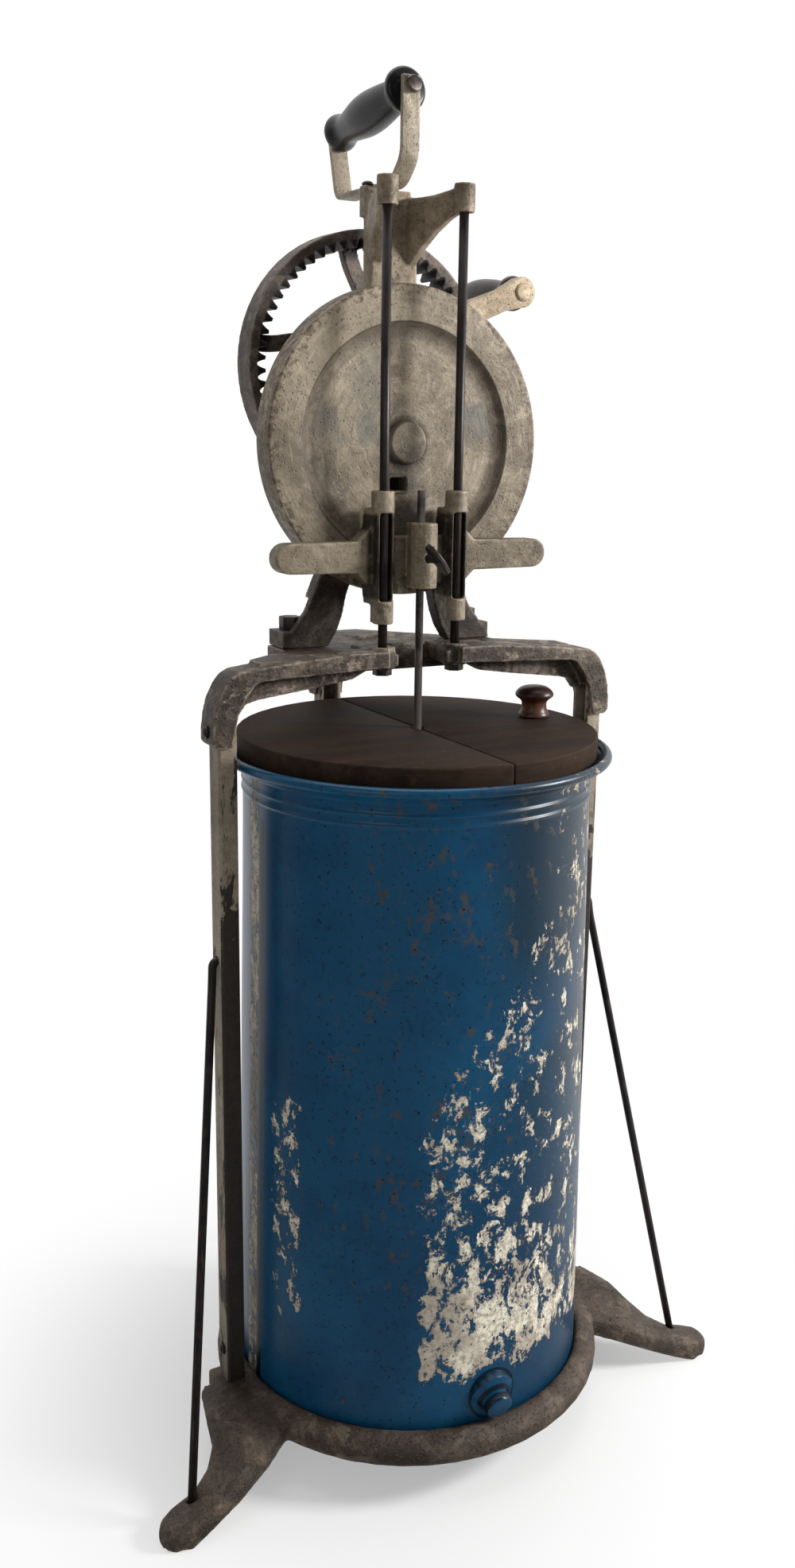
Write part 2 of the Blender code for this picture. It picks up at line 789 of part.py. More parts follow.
def make_base():
    """The base casting: a collar that holds the can, three legs and a lug inside each upright."""
    seat = CAN_FOOT_R + COLLAR_GAP
    thick = COLLAR_OUT_R - seat
    height = COLLAR_TOP_Z - COLLAR_LOW_Z
    base = turned(
        "base_casting",
        [
            (seat - thick / 2, COLLAR_TOP_Z - height / 12),
            (seat + thick * 0.3, COLLAR_TOP_Z),
            (seat + thick * 0.7, COLLAR_TOP_Z - height * 0.12),
            (COLLAR_OUT_R, COLLAR_TOP_Z - height * 0.4),
            (COLLAR_OUT_R, COLLAR_LOW_Z + height * 0.25),
            (COLLAR_OUT_R - thick * 0.25, COLLAR_LOW_Z),
            (LEDGE_BORE_R - thick / 2, COLLAR_LOW_Z),
            (LEDGE_BORE_R - thick / 2, COLLAR_LOW_Z + height / 3),
        ],
        steps=CAN_STEPS,
        closed=True,
    )
    lug_half = UPRIGHT_WIDTH / 2 - UPRIGHT_WALL - RUN
    lug_out = UPRIGHT_OUT_R - UPRIGHT_WALL - RUN
    sockets = ring_of_three(
        lambda name, angle: upright_block(
            "socket_" + name,
            angle,
            (UPRIGHT_IN_R - SOCKET_STEP, SOCKET_R),
            SOCKET_HALF_WIDTH,
            (COLLAR_LOW_Z + SOCKET_STEP, UPRIGHT_LOW_Z - RUN),
        )
    )
    lugs = ring_of_three(
        lambda name, angle: upright_block(
            "lug_" + name,
            angle,
            (lug_out - LUG_DEPTH, lug_out),
            lug_half,
            (COLLAR_LOW_Z + SOCKET_STEP * 2, LUG_TOP_Z),
        )
    )
    legs = [
        leg_loft("leg_right", front_leg_stations(1)),
        leg_loft("leg_left", front_leg_stations(-1)),
        leg_loft("leg_rear", rear_leg_stations()),
    ]
    clearings = ring_of_three(
        lambda name, angle: cut(
            upright_block(
                "clearing_" + name,
                angle,
                (UPRIGHT_IN_R - RUN * 2, UPRIGHT_OUT_R + RUN * 2),
                UPRIGHT_WIDTH / 2 + RUN * 2,
                (UPRIGHT_LOW_Z - RUN, LUG_TOP_Z + OVERRUN),
            ),
            upright_block("lug_kept_" + name, angle, (lug_out - LUG_DEPTH, lug_out), lug_half, (0, CAN_NECK_Z)),
        )
    )
    seat_cut = drum("can_seat", (0, 0, CAN_FLOOR_Z - RUN), (0, 0, LUG_TOP_Z + OVERRUN), seat, sides=CAN_STEPS)
    bore_cut = drum("ledge_bore", (0, 0, -OVERRUN), (0, 0, CAN_FLOOR_Z), LEDGE_BORE_R, sides=CAN_STEPS)
    reach = REAR_TOE_Y + LEG_TOE_R
    floor_cut = block("floor", (-reach, -reach, -LEG_TOE_R), (reach, reach, 0))
    join(base, *legs, *sockets, *lugs)
    cut(base, seat_cut, bore_cut, floor_cut, *clearings)
    holes = ring_of_three(
        lambda name, angle: drum(
            "rivet_hole_" + name,
            spot(UPRIGHT_IN_R - OVERRUN, angle, LOW_RIVET_Z),
            spot(UPRIGHT_OUT_R, angle, LOW_RIVET_Z),
            RIVET_R + RUN,
            sides=SMALL_STEPS,
        )
    )
    stays = []
    for name, degrees in (("right", 0), ("rear", 90), ("left", 180)):
        foot, hook = brace_line(math.radians(degrees))
        up = foot + (hook - foot).normalized() * (LEG_TOE_R * 2)
        down = foot - (hook - foot).normalized() * RUN
        stays.append(drum("stay_hole_" + name, down, up, BRACE_R + RUN, sides=SMALL_STEPS))
    return cut(base, *holes, *stays)


def make_uprights():
    """Three alike channels, drilled for their rivets and stays."""
    half = UPRIGHT_WIDTH / 2
    ease = UPRIGHT_EASE
    wall = UPRIGHT_WALL
    right_side = [
        (UPRIGHT_OUT_R, half - ease),
        (UPRIGHT_OUT_R - ease, half),
        (UPRIGHT_IN_R, half),
        (UPRIGHT_IN_R, half - wall),
        (UPRIGHT_OUT_R - wall, half - wall),
    ]
    outline = right_side + [(x, -y) for x, y in reversed(right_side)]
    first = slab("upright_right", outline, UPRIGHT_LOW_Z, UPRIGHT_TOP_Z)
    holes = []
    for height, radius in ((LOW_RIVET_Z, RIVET_R), (HIGH_RIVET_Z, RIVET_R), (BRACE_HOOK_Z, BRACE_R)):
        start = (UPRIGHT_OUT_R - wall - OVERRUN, 0, height)
        end = (UPRIGHT_OUT_R + OVERRUN, 0, height)
        holes.append(drum("upright_hole", start, end, radius + RUN, sides=SMALL_STEPS))
    baked(cut(first, *holes))
    turned_copy("upright_rear", first, math.radians(90))
    turned_copy("upright_left", first, math.radians(180))


def rivet(name, outer, inner):
    """A rivet along X with a domed head at each end; outer and inner are the faces that it holds."""
    out_face = outer + RUN
    in_face = inner - RUN
    profile = [
        (0, out_face + RIVET_HEAD_H),
        (RIVET_HEAD_R * 0.6, out_face + RIVET_HEAD_H * 0.75),
        (RIVET_HEAD_R, out_face),
        (RIVET_R, out_face),
        (RIVET_R, in_face),
        (RIVET_HEAD_R * 0.8, in_face),
        (RIVET_HEAD_R * 0.5, in_face - RIVET_HEAD_H * 0.6),
        (0, in_face - RIVET_HEAD_H * 0.7),
    ]
    return turned(name, profile, facing((0, 0, 0), (1, 0, 0)), steps=SMALL_STEPS)


def make_rivets():
    """The rivets at the feet and in the claws of the uprights."""
    lug_in = UPRIGHT_OUT_R - UPRIGHT_WALL - RUN - LUG_DEPTH
    for level, height, outer, inner in (
        ("lower", LOW_RIVET_Z, UPRIGHT_OUT_R, lug_in),
        ("upper", HIGH_RIVET_Z, CLAW_OUT_R, UPRIGHT_OUT_R - UPRIGHT_WALL),
    ):
        first = baked(rivet("rivet_" + level + "_right", outer, inner))
        first.matrix_world = Matrix.Translation((0, 0, height)) @ first.matrix_world
        turned_copy("rivet_" + level + "_rear", first, math.radians(90))
        turned_copy("rivet_" + level + "_left", first, math.radians(180))


def make_brace(name, angle):
    """A stay rod from a toe up to its hook in the upright."""
    foot, hook = brace_line(angle)
    inner_end = spot(UPRIGHT_OUT_R - UPRIGHT_WALL - BRACE_R, angle, BRACE_HOOK_Z)
    corner = hook + UP * BRACE_BEND_R
    along = (hook - foot).normalized()
    route = soft_path([foot, hook - along * BRACE_BEND_R, corner, inner_end], BRACE_BEND_R)
    return wire("brace_" + name, route, BRACE_R)


# The top bridge and the head frame


def claw_point(along_share, height_share):
    """A point in an arm's side view: shares of the claw's reach and of its height."""
    return CLAW_OUT_R * along_share, CLAW_LOW_Z + (LIP_TOP_Z - CLAW_LOW_Z) * height_share


def arm_outline(root):
    """The side view of a bridge arm: it falls a little from the middle, then turns down as a claw."""
    outer_shares = [
        (0.38, 1.00),
        (0.63, 0.947),
        (0.79, 0.904),
        (0.877, 0.875),
        (0.915, 0.82),
        (0.945, 0.72),
        (0.975, 0.56),
        (0.992, 0.38),
        (1.0, 0.18),
        (1.0, 0.05),
        (0.983, 0.0),
    ]
    inner_shares = [(0.915, 0.0), (0.885, 0.386), (0.852, 0.561), (0.808, 0.719), (0.776, 0.749), (0.524, 0.775)]
    outer = [claw_point(*share) for share in outer_shares]
    inner = [claw_point(*share) for share in inner_shares]
    return [(root, LIP_TOP_Z)] + [(x, z) for x, z in outer + inner if x > root] + [(root, BRIDGE_PLATE_Z)]


def rib_outline(root):
    """The side view of the rib under a bridge arm, deepest inside the upright."""
    shares = [
        (0.900, 0.780),
        (0.885, 0.300),
        (0.856, 0.330),
        (0.823, 0.455),
        (0.768, 0.497),
        (0.498, 0.590),
        (0.325, 0.660),
    ]
    clear = root + ROD_BOSS_R
    low = ROD_BOSS_LOW_Z + RUN
    points = [(x, z) for x, z in (claw_point(*share) for share in shares) if x > clear]
    return [(root, BRIDGE_TOP_Z - RUN)] + points + [(clear, low), (root, low)]


def bridge_arm(name, angle, root, aside):
    """An arm of the bridge with its rib, turned to an upright; aside is the rib's place across the arm."""
    lip = slab("lip_" + name, arm_outline(root), -ARM_HALF_WIDTH, ARM_HALF_WIDTH, "XZ")
    rib = slab("rib_" + name, rib_outline(root), aside - RIB_WIDTH / 2, aside + RIB_WIDTH / 2, "XZ")
    for shape in (lip, rib):
        shape.data.transform(Matrix.Rotation(angle, 4, "Z"))
    return lip, rib


def bridge_outline():
    """The plan of the bridge's plate: pads at the sides, a notch in front and a tail to the rear arm."""
    half = [
        (NOTCH_HALF_WIDTH, NOTCH_Y),
        (NOTCH_HALF_WIDTH, LIP_FRONT_Y + RIB_WIDTH / 2),
        (UPRIGHT_IN_R - UPRIGHT_WIDTH, LIP_FRONT_Y + RIB_WIDTH / 2),
        (UPRIGHT_IN_R - UPRIGHT_WIDTH, ARM_HALF_WIDTH),
        (PAD_OUT_X, PAD_FRONT_Y - RIB_STEP),
        (PAD_OUT_X, PAD_REAR_Y),
        (PAD_IN_X, PAD_REAR_Y + RIB_STEP),
        (TAIL_WIDE_X, TAIL_WIDE_Y),
        (ARM_HALF_WIDTH, UPRIGHT_IN_R - UPRIGHT_WIDTH),
    ]
    return half + [(-x, y) for x, y in reversed(half)]


def upright_pocket(name, angle):
    """The room that an upright's top takes inside a claw."""
    radii = (UPRIGHT_IN_R - RUN, UPRIGHT_OUT_R + RUN)
    heights = (CLAW_LOW_Z - OVERRUN, UPRIGHT_TOP_Z + RUN)
    return upright_block("pocket_" + name, angle, radii, UPRIGHT_WIDTH / 2 + RUN, heights)


def make_bridge():
    """The iron bridge that ties the uprights together over the can."""
    bridge = slab("top_bridge", bridge_outline(), BRIDGE_PLATE_Z, BRIDGE_TOP_Z)
    parts = []
    parts += bridge_arm("right", 0, ROD_X, RIB_WIDTH / 2)
    parts += bridge_arm("left", math.radians(180), ROD_X, -RIB_WIDTH / 2)
    parts += bridge_arm("rear", math.radians(90), PAD_REAR_Y, 0)
    beam_low = BRIDGE_PLATE_Z - RIB_WIDTH
    beam = block(
        "beam",
        (-ROD_X - ROD_BOSS_R, NOTCH_Y + RIB_STEP / 2, beam_low),
        (ROD_X + ROD_BOSS_R, NOTCH_Y + RIB_WIDTH, LIP_TOP_Z),
    )
    parts.append(beam)
    for side in (-1, 1):
        low = (side * ROD_X, 0, ROD_BOSS_LOW_Z)
        high = (side * ROD_X, 0, ROD_BOSS_TOP_Z)
        parts.append(drum("rod_boss", low, high, ROD_BOSS_R))
        cheek_in = side * (NOTCH_HALF_WIDTH + RIB_STEP / 3)
        cheek_out = side * (ROD_X + ROD_BOSS_R)
        parts.append(
            block(
                "cheek",
                (min(cheek_in, cheek_out), RIB_STEP, ROD_BOSS_LOW_Z + RUN * 2),
                (max(cheek_in, cheek_out), NOTCH_Y + RIB_WIDTH / 2, LIP_TOP_Z - RUN),
            )
        )
    join(bridge, *parts)
    holes = ring_of_three(upright_pocket)
    holes += ring_of_three(
        lambda name, angle: drum(
            "claw_hole_" + name,
            spot(UPRIGHT_OUT_R - OVERRUN, angle, HIGH_RIVET_Z),
            spot(CLAW_OUT_R + OVERRUN, angle, HIGH_RIVET_Z),
            RIVET_R + RUN,
            sides=SMALL_STEPS,
        )
    )
    for side in (-1, 1):
        low = (side * ROD_X, 0, ROD_BOSS_LOW_Z - OVERRUN)
        high = (side * ROD_X, 0, ROD_BOSS_TOP_Z + OVERRUN)
        holes.append(drum("rod_hole", low, high, ROD_R + RUN))
        low = (side * FRAME_BOLT_X, FRAME_BOLT_Y, BRIDGE_PLATE_Z - OVERRUN)
        high = (side * FRAME_BOLT_X, FRAME_BOLT_Y, FOOT_TOP_Z)
        holes.append(drum("bolt_hole", low, high, FRAME_BOLT_R + RUN, sides=ROUND_STEPS))
    return cut(bridge, *holes)


def head_outline():
    """The front view of the head frame: two splayed legs under the axle and a neck above the spindle."""
    foot_z = BRIDGE_TOP_Z + RUN * 2
    span = NECK_FRONT_TOP_Z - foot_z
    outer_shares = [
        # from the neck down the outer edge: share of the pads' reach, share of the height
        (0.300, 0.650),
        (0.340, 0.477),
        (0.430, 0.345),
        (0.560, 0.224),
        (0.680, 0.146),
        (0.725, 0.115),
        (0.775, 0.083),
        (0.860, 0.053),
        (0.940, 0.022),
        (0.995, 0.000),
    ]
    inner_shares = [
        # and up the inner edge to the top of the gap
        (0.575, 0.000),
        (0.500, 0.034),
        (0.450, 0.071),
        (0.415, 0.116),
        (0.310, 0.200),
        (0.170, 0.270),
        (0.030, 0.310),
    ]
    right = [(NECK_HALF_WIDTH * 0.9, NECK_FRONT_TOP_Z), (NECK_HALF_WIDTH, foot_z + span * 0.815)]
    right += [(PAD_OUT_X * wide, foot_z + span * tall) for wide, tall in outer_shares + inner_shares]
    return right + [(-x, z) for x, z in reversed(right)]


def top_arm(side):
    """A web that sweeps from the neck forward and out to a guide rod's boss."""
    root = Vector((NECK_HALF_WIDTH * 0.62, HEAD_FRONT_Y + LEG_WEB))
    end = Vector((ROD_X, 0))
    along = (end - root).normalized()
    span = TOP_BOSS_TOP_Z - TOP_BOSS_LOW_Z
    shares = [
        # share of the way to the rod, half width and depth as shares of the boss, top's share of the neck's dip
        (0.00, 0.36, 2.55, 1.0),
        (0.16, 0.34, 2.40, 1.0),
        (0.34, 0.31, 1.85, 1.0),
        (0.54, 0.28, 1.38, 0.9),
        (0.74, 0.27, 1.08, 0.6),
        (0.94, 0.26, 0.90, 0.25),
    ]
    rings = []
    for share, wide, deep, dip in shares:
        centre = root.lerp(end, share)
        high = TOP_BOSS_TOP_Z - RUN - (TOP_BOSS_TOP_Z - NECK_FRONT_TOP_Z) * dip
        low = high - span * deep
        rings.append(pillow((side * centre.x, centre.y), (-along.y, side * along.x), span * wide, low, high, sides=10))
    return loft("top_arm", rings)


def make_head():
    """The head frame casting."""
    rear = HEAD_FRONT_Y + HEAD_THICK
    head = slab("head_frame", head_outline(), HEAD_FRONT_Y, rear, "XZ")
    foot_low = BRIDGE_TOP_Z + RUN
    parts = [
        drum("axle_hub", (0, HEAD_FRONT_Y + RUN, AXLE_Z), (0, HUB_REAR_Y, AXLE_Z), AXLE_R * 2.3),
        drum("spindle_hub", (0, HEAD_FRONT_Y + RUN, spindle_z()), (0, HUB_REAR_Y, spindle_z()), SPINDLE_R * 1.9),
        block(
            "neck_top",
            (-NECK_HALF_WIDTH * 0.85, HEAD_FRONT_Y + LEG_WEB * 0.8, spindle_z() + RING_HUB_R),
            (NECK_HALF_WIDTH * 0.85, HEAD_FRONT_Y + NECK_DEPTH, NECK_TOP_Z - RUN),
        ),
        block(
            "strap_lug",
            (-STRAP_LUG_X - STRAP_SCREW_HEAD_R, STRAP_LUG_Y - STRAP_SCREW_HEAD_R, TOP_BOSS_LOW_Z),
            (-NECK_HALF_WIDTH / 2, STRAP_LUG_Y + STRAP_SCREW_HEAD_R, STRAP_BASE_Z),
        ),
    ]
    for side in (-1, 1):
        near = side * PAD_IN_X
        far = side * (PAD_OUT_X - RIB_STEP / 2)
        parts.append(
            block(
                "foot",
                (min(near, far), PAD_FRONT_Y + RUN, foot_low),
                (max(near, far), PAD_REAR_Y - RUN, FOOT_TOP_Z),
            )
        )
        parts.append(top_arm(side))
        low = (side * ROD_X, 0, TOP_BOSS_LOW_Z)
        high = (side * ROD_X, 0, TOP_BOSS_TOP_Z)
        parts.append(drum("top_boss", low, high, TOP_BOSS_R))
    join(head, *parts)
    holes = [
        drum("axle_bore", (0, HEAD_FRONT_Y - OVERRUN, AXLE_Z), (0, HUB_REAR_Y + OVERRUN, AXLE_Z), AXLE_R + RUN),
        drum(
            "spindle_bore",
            (0, HEAD_FRONT_Y - OVERRUN, spindle_z()),
            (0, HUB_REAR_Y + OVERRUN, spindle_z()),
            SPINDLE_R + RUN,
        ),
        drum(
            "handle_bolt_hole",
            (0, HANDLE_BOLT_Y, NECK_TOP_Z - HANDLE_HEAD_R * 2 - RUN),
            (0, HANDLE_BOLT_Y, NECK_TOP_Z + OVERRUN),
            HANDLE_BOLT_R + RUN,
            sides=SMALL_STEPS,
        ),
        drum(
            "strap_screw_hole",
            (-STRAP_LUG_X, STRAP_LUG_Y, TOP_BOSS_LOW_Z + STRAP_SCREW_HEAD_R),
            (-STRAP_LUG_X, STRAP_LUG_Y, STRAP_BASE_Z + OVERRUN),
            STRAP_SCREW_R + RUN,
            sides=SMALL_STEPS,
        ),
    ]
    for side in (-1, 1):
        low = (side * ROD_X, 0, TOP_BOSS_LOW_Z - OVERRUN)
        high = (side * ROD_X, 0, TOP_BOSS_TOP_Z + OVERRUN)
        holes.append(drum("rod_hole", low, high, ROD_R + RUN))
        low = (side * FRAME_BOLT_X, FRAME_BOLT_Y, foot_low - OVERRUN)
        high = (side * FRAME_BOLT_X, FRAME_BOLT_Y, FOOT_TOP_Z + OVERRUN)
        holes.append(drum("bolt_hole", low, high, FRAME_BOLT_R + RUN, sides=ROUND_STEPS))
        near = side * PAD_IN_X * 0.9
        far = side * (PAD_OUT_X + OVERRUN)
        room = block(
            "bolt_room",
            (min(near, far), HEAD_FRONT_Y + LEG_WEB, FOOT_TOP_Z),
            (max(near, far), PAD_REAR_Y + OVERRUN, LEG_WEB_TOP_Z),
        )
        holes.append(room)
    return cut(head, *holes)


def make_fasteners():
    """The frame bolts with their nuts, the guide rods with theirs, the handle's bolt and the strap's screw."""
    for name, side in (("left", -1), ("right", 1)):
        x = side * FRAME_BOLT_X
        y = FRAME_BOLT_Y
        head_low = FOOT_TOP_Z + RUN
        nut_top = BRIDGE_PLATE_Z - RUN
        shank_low = nut_top - FRAME_NUT_H - FRAME_BOLT_END
        shank = drum("frame_bolt_" + name, (x, y, shank_low), (x, y, head_low + OVERRUN), FRAME_BOLT_R)
        top = head_low + FRAME_BOLT_HEAD_H
        join(shank, drum("bolt_head", (x, y, head_low), (x, y, top), FRAME_BOLT_HEAD_R, sides=6))
        nut = drum("frame_nut_" + name, (x, y, nut_top - FRAME_NUT_H), (x, y, nut_top), FRAME_BOLT_HEAD_R, sides=6)
        cut(nut, drum("nut_bore", (x, y, shank_low), (x, y, head_low), FRAME_BOLT_R + RUN, sides=ROUND_STEPS))
        x = side * ROD_X
        drum("guide_rod_" + name, (x, 0, ROD_NUT_LOW_Z), (x, 0, ROD_TOP_Z), ROD_R)
        nut = drum("rod_nut_" + name, (x, 0, ROD_NUT_LOW_Z), (x, 0, ROD_BOSS_LOW_Z - RUN), ROD_NUT_R, sides=6)
        cut(nut, drum("nut_bore", (x, 0, CAN_NECK_Z), (x, 0, ROD_BOSS_TOP_Z), ROD_R + RUN))
    strap_top = STRAP_BASE_Z + STRAP_THICK / 2 + RUN
    shank_low = NECK_TOP_Z - HANDLE_HEAD_R * 2
    turned(
        "handle_bolt",
        [
            (0, strap_top + HANDLE_BOLT_HEAD_H),
            (HANDLE_BOLT_HEAD_R * 0.7, strap_top + HANDLE_BOLT_HEAD_H),
            (HANDLE_BOLT_HEAD_R, strap_top + HANDLE_BOLT_HEAD_H / 3),
            (HANDLE_BOLT_HEAD_R, strap_top),
            (HANDLE_BOLT_R, strap_top),
            (HANDLE_BOLT_R, shank_low),
            (0, shank_low),
        ],
        Matrix.Translation((0, HANDLE_BOLT_Y, 0)),
        steps=ROUND_STEPS,
    )
    lug_top = STRAP_BASE_Z + RUN
    shank_low = TOP_BOSS_LOW_Z + STRAP_SCREW_HEAD_R + RUN
    turned(
        "strap_screw",
        [
            (0, lug_top + STRAP_SCREW_HEAD_H),
            (STRAP_SCREW_HEAD_R * 0.7, lug_top + STRAP_SCREW_HEAD_H * 0.8),
            (STRAP_SCREW_HEAD_R, lug_top + STRAP_SCREW_HEAD_H / 4),
            (STRAP_SCREW_HEAD_R, lug_top),
            (STRAP_SCREW_R, lug_top),
            (STRAP_SCREW_R, shank_low),
            (0, shank_low),
        ],
        Matrix.Translation((-STRAP_LUG_X, STRAP_LUG_Y, 0)),
        steps=ROUND_STEPS,
    )


# The carrying handle


def handle_axis():
    """The near and far ends of the carrying grip's axis, at the outer faces of the strap's arms."""
    near = Vector((0, STRAP_NEAR_Y - STRAP_THICK / 2, HANDLE_NEAR_Z))
    far = Vector((0, STRAP_FAR_TOP_Y + STRAP_THICK / 2, HANDLE_FAR_Z))
    return near, far


def make_handle():
    """The bent strap, the turned grip between its arms and the long screw through both."""
    near, far = handle_axis()
    eye = HANDLE_HEAD_R
    lean = (STRAP_FAR_TOP_Y - STRAP_FAR_Y) / (HANDLE_FAR_Z - STRAP_BASE_Z)
    path = soft_path(
        [
            (STRAP_NEAR_Y, HANDLE_NEAR_Z + eye),
            (STRAP_NEAR_Y, STRAP_BASE_Z + STRAP_BEND_R),
            (STRAP_NEAR_Y + STRAP_BEND_R * 1.05, STRAP_BASE_Z),
            (STRAP_FAR_Y, STRAP_BASE_Z),
            (STRAP_FAR_TOP_Y + lean * eye, HANDLE_FAR_Z + eye),
        ],
        STRAP_BEND_R * 0.5,
    )
    half = STRAP_WIDTH / 2
    strap = slab("handle_strap", ribbon(path, STRAP_THICK), -half, half, "YZ")
    along = (far - near).normalized()
    past = along * OVERRUN * 3
    cut(
        strap,
        drum("handle_rod_hole", near - past, far + past, HANDLE_ROD_R + RUN),
        drum(
            "handle_bolt_hole",
            (0, HANDLE_BOLT_Y, STRAP_BASE_Z - OVERRUN),
            (0, HANDLE_BOLT_Y, STRAP_BASE_Z + OVERRUN),
            HANDLE_BOLT_R + RUN,
            sides=SMALL_STEPS,
        ),
    )
    span = (far - near).length
    slope = STRAP_WIDTH * abs(along.z)
    start = STRAP_THICK + RUN + slope
    end = span - STRAP_THICK - RUN - slope
    bore = HANDLE_ROD_R + RUN
    length = end - start
    grip = turned(
        "top_grip",
        grip_profile(start, length, HANDLE_FLANGE_R, HANDLE_WAIST_R, HANDLE_R, bore),
        facing(near, along),
        closed=True,
    )
    rod = turned(
        "handle_rod",
        [
            (0, span + HANDLE_HEAD_H + slope),
            (HANDLE_HEAD_R * 0.8, span + HANDLE_HEAD_H + slope),
            (HANDLE_HEAD_R, span + slope + RUN),
            (HANDLE_ROD_R, span + slope + RUN),
            (HANDLE_ROD_R, -slope - RUN),
            (HANDLE_HEAD_R, -slope - RUN),
            (HANDLE_HEAD_R * 0.8, -slope - HANDLE_HEAD_H),
            (0, -slope - HANDLE_HEAD_H),
        ],
        facing(near, along),
        steps=ROUND_STEPS,
    )
    return grip, rod


def grip_profile(start, length, flange, waist, belly, bore):
    """A turned wooden grip: a flange at each end, a waist by each and a belly between."""
    end = start + length
    far_flange = flange * FAR_FLANGE_SHARE
    return [
        (bore, end),
        (far_flange * 0.85, end),
        (far_flange, end - length * 0.025),
        (far_flange, end - length * 0.055),
        (waist, end - length * 0.11),
        (belly * 0.9, end - length * 0.30),
        (belly, start + length * 0.55),
        (belly * 0.93, start + length * 0.36),
        (waist, start + length * 0.13),
        (flange, start + length * 0.07),
        (flange * 0.9, start),
        (bore, start),
    ]


# The flywheel and the gears


def make_disc():
    """The flywheel's iron disc: a heavy rim, a dished web and a hub."""
    rear = DISC_REAR_Y
    front = DISC_FRONT_Y
    recess = front + RECESS_DEPTH
    bore = AXLE_R + RUN
    cove = RIM_FACE_R - COVE_WIDTH
    profile = [
        (bore, rear),
        (REAR_HUB_R, rear),
        (REAR_HUB_R + DISC_EASE, WEB_REAR_Y),
        (REAR_RIM_R - DISC_EASE, WEB_REAR_Y),
        (REAR_RIM_R, rear),
        (DISC_R - DISC_EASE, rear),
        (DISC_R, rear - DISC_EASE),
        (DISC_R, front + DISC_EASE),
        (DISC_R - DISC_EASE, front),
        (RIM_FACE_R, front),
        (RIM_FACE_R - COVE_WIDTH * 0.12, front + RECESS_DEPTH * 0.55),
        (RIM_FACE_R - COVE_WIDTH * 0.45, recess - RECESS_DEPTH * 0.1),
        (cove, recess),
        (DISC_HUB_R + DISC_EASE, recess),
        (DISC_HUB_R, recess - DISC_EASE),
        (DISC_HUB_R, DISC_HUB_FRONT_Y + DISC_EASE),
        (DISC_HUB_R - DISC_EASE, DISC_HUB_FRONT_Y),
        (bore, DISC_HUB_FRONT_Y),
    ]
    disc = turned("flywheel_disc", profile, facing((0, 0, AXLE_Z), REAR), steps=CAN_STEPS, closed=True)
    border = SLOT_BORDER
    frame = block(
        "slot_border",
        (-SLOT_WIDTH - border, recess - border / 2, SLOT_LOW_Z - border),
        (border, WEB_REAR_Y - border, SLOT_LOW_Z + SLOT_HEIGHT + border),
    )
    slot = block("slot", (-SLOT_WIDTH, front - OVERRUN, SLOT_LOW_Z), (0, WEB_REAR_Y + OVERRUN, SLOT_LOW_Z + SLOT_HEIGHT))
    pin_z = AXLE_Z - CRANK_THROW
    pin_hole = drum(
        "crank_pin_hole", (0, DISC_HUB_FRONT_Y - OVERRUN, pin_z), (0, WEB_REAR_Y + OVERRUN, pin_z), CRANK_PIN_R + RUN
    )
    join(disc, frame)
    return cut(disc, slot, pin_hole)


def make_crank_pin():
    """The pin that stands on the disc's face, headed behind the web."""
    head = WEB_REAR_Y + RUN
    return turned(
        "crank_pin",
        [
            (0, head + CRANK_PIN_HEAD_H),
            (CRANK_PIN_HEAD_R, head + CRANK_PIN_HEAD_H),
            (CRANK_PIN_HEAD_R, head),
            (CRANK_PIN_R, head),
            (CRANK_PIN_R, CRANK_PIN_FRONT_Y + DISC_EASE / 3),
            (CRANK_PIN_R - DISC_EASE / 3, CRANK_PIN_FRONT_Y),
            (0, CRANK_PIN_FRONT_Y),
        ],
        facing((0, 0, AXLE_Z - CRANK_THROW), REAR),
    )


def pitch_radius(teeth):
    """The radius of a gear's pitch circle."""
    return MODULE * teeth / 2


def spindle_z():
    """The ring gear's centre stands above the pinion's by the difference of their pitch radii."""
    return AXLE_Z + pitch_radius(RING_TEETH) - pitch_radius(PINION_TEETH)


def roll_angle(radius, base):
    """The involute's polar angle at a radius."""
    slope = math.sqrt(max((radius / base) ** 2 - 1, 0))
    return slope - math.atan(slope)


def tooth_ring(teeth, centre, inner, outer, slack):
    """Involute teeth pointing outwards round a centre, one of them straight down; slack thickens them."""
    pitch = pitch_radius(teeth)
    base = pitch * math.cos(PRESSURE_ANGLE)
    half_angle = (math.pi * MODULE / 2 + slack) / (2 * pitch) + roll_angle(pitch, base)
    steps = 2
    flank_start = max(inner, base)
    flank = [inner] if inner < base else []
    flank += [flank_start + (outer - flank_start) * at / steps for at in range(steps + 1)]
    points = []
    for tooth in range(teeth):
        middle = math.tau * tooth / teeth - math.pi / 2
        for side, radii in ((-1, flank), (1, flank[::-1])):
            for radius in radii:
                angle = middle + side * (half_angle - roll_angle(radius, base))
                points.append((centre[0] + radius * math.cos(angle), centre[1] + radius * math.sin(angle)))
    return points


def spoke_outline(centre, turn):
    """An S-curved spoke from the hub to the rim, at an angle."""
    reach = RING_OUT_R - MODULE * 2
    shares = [(0.10, -14), (0.28, -17), (0.47, -15), (0.64, -7), (0.80, -0.8), (1.0, 1)]
    path = []
    for share, degrees in shares:
        angle = turn + math.radians(degrees)
        path.append(Vector((centre[0] + reach * share * math.cos(angle), centre[1] + reach * share * math.sin(angle))))
    return ribbon(soft_path(path, SPOKE_WIDTH, 3), SPOKE_WIDTH)


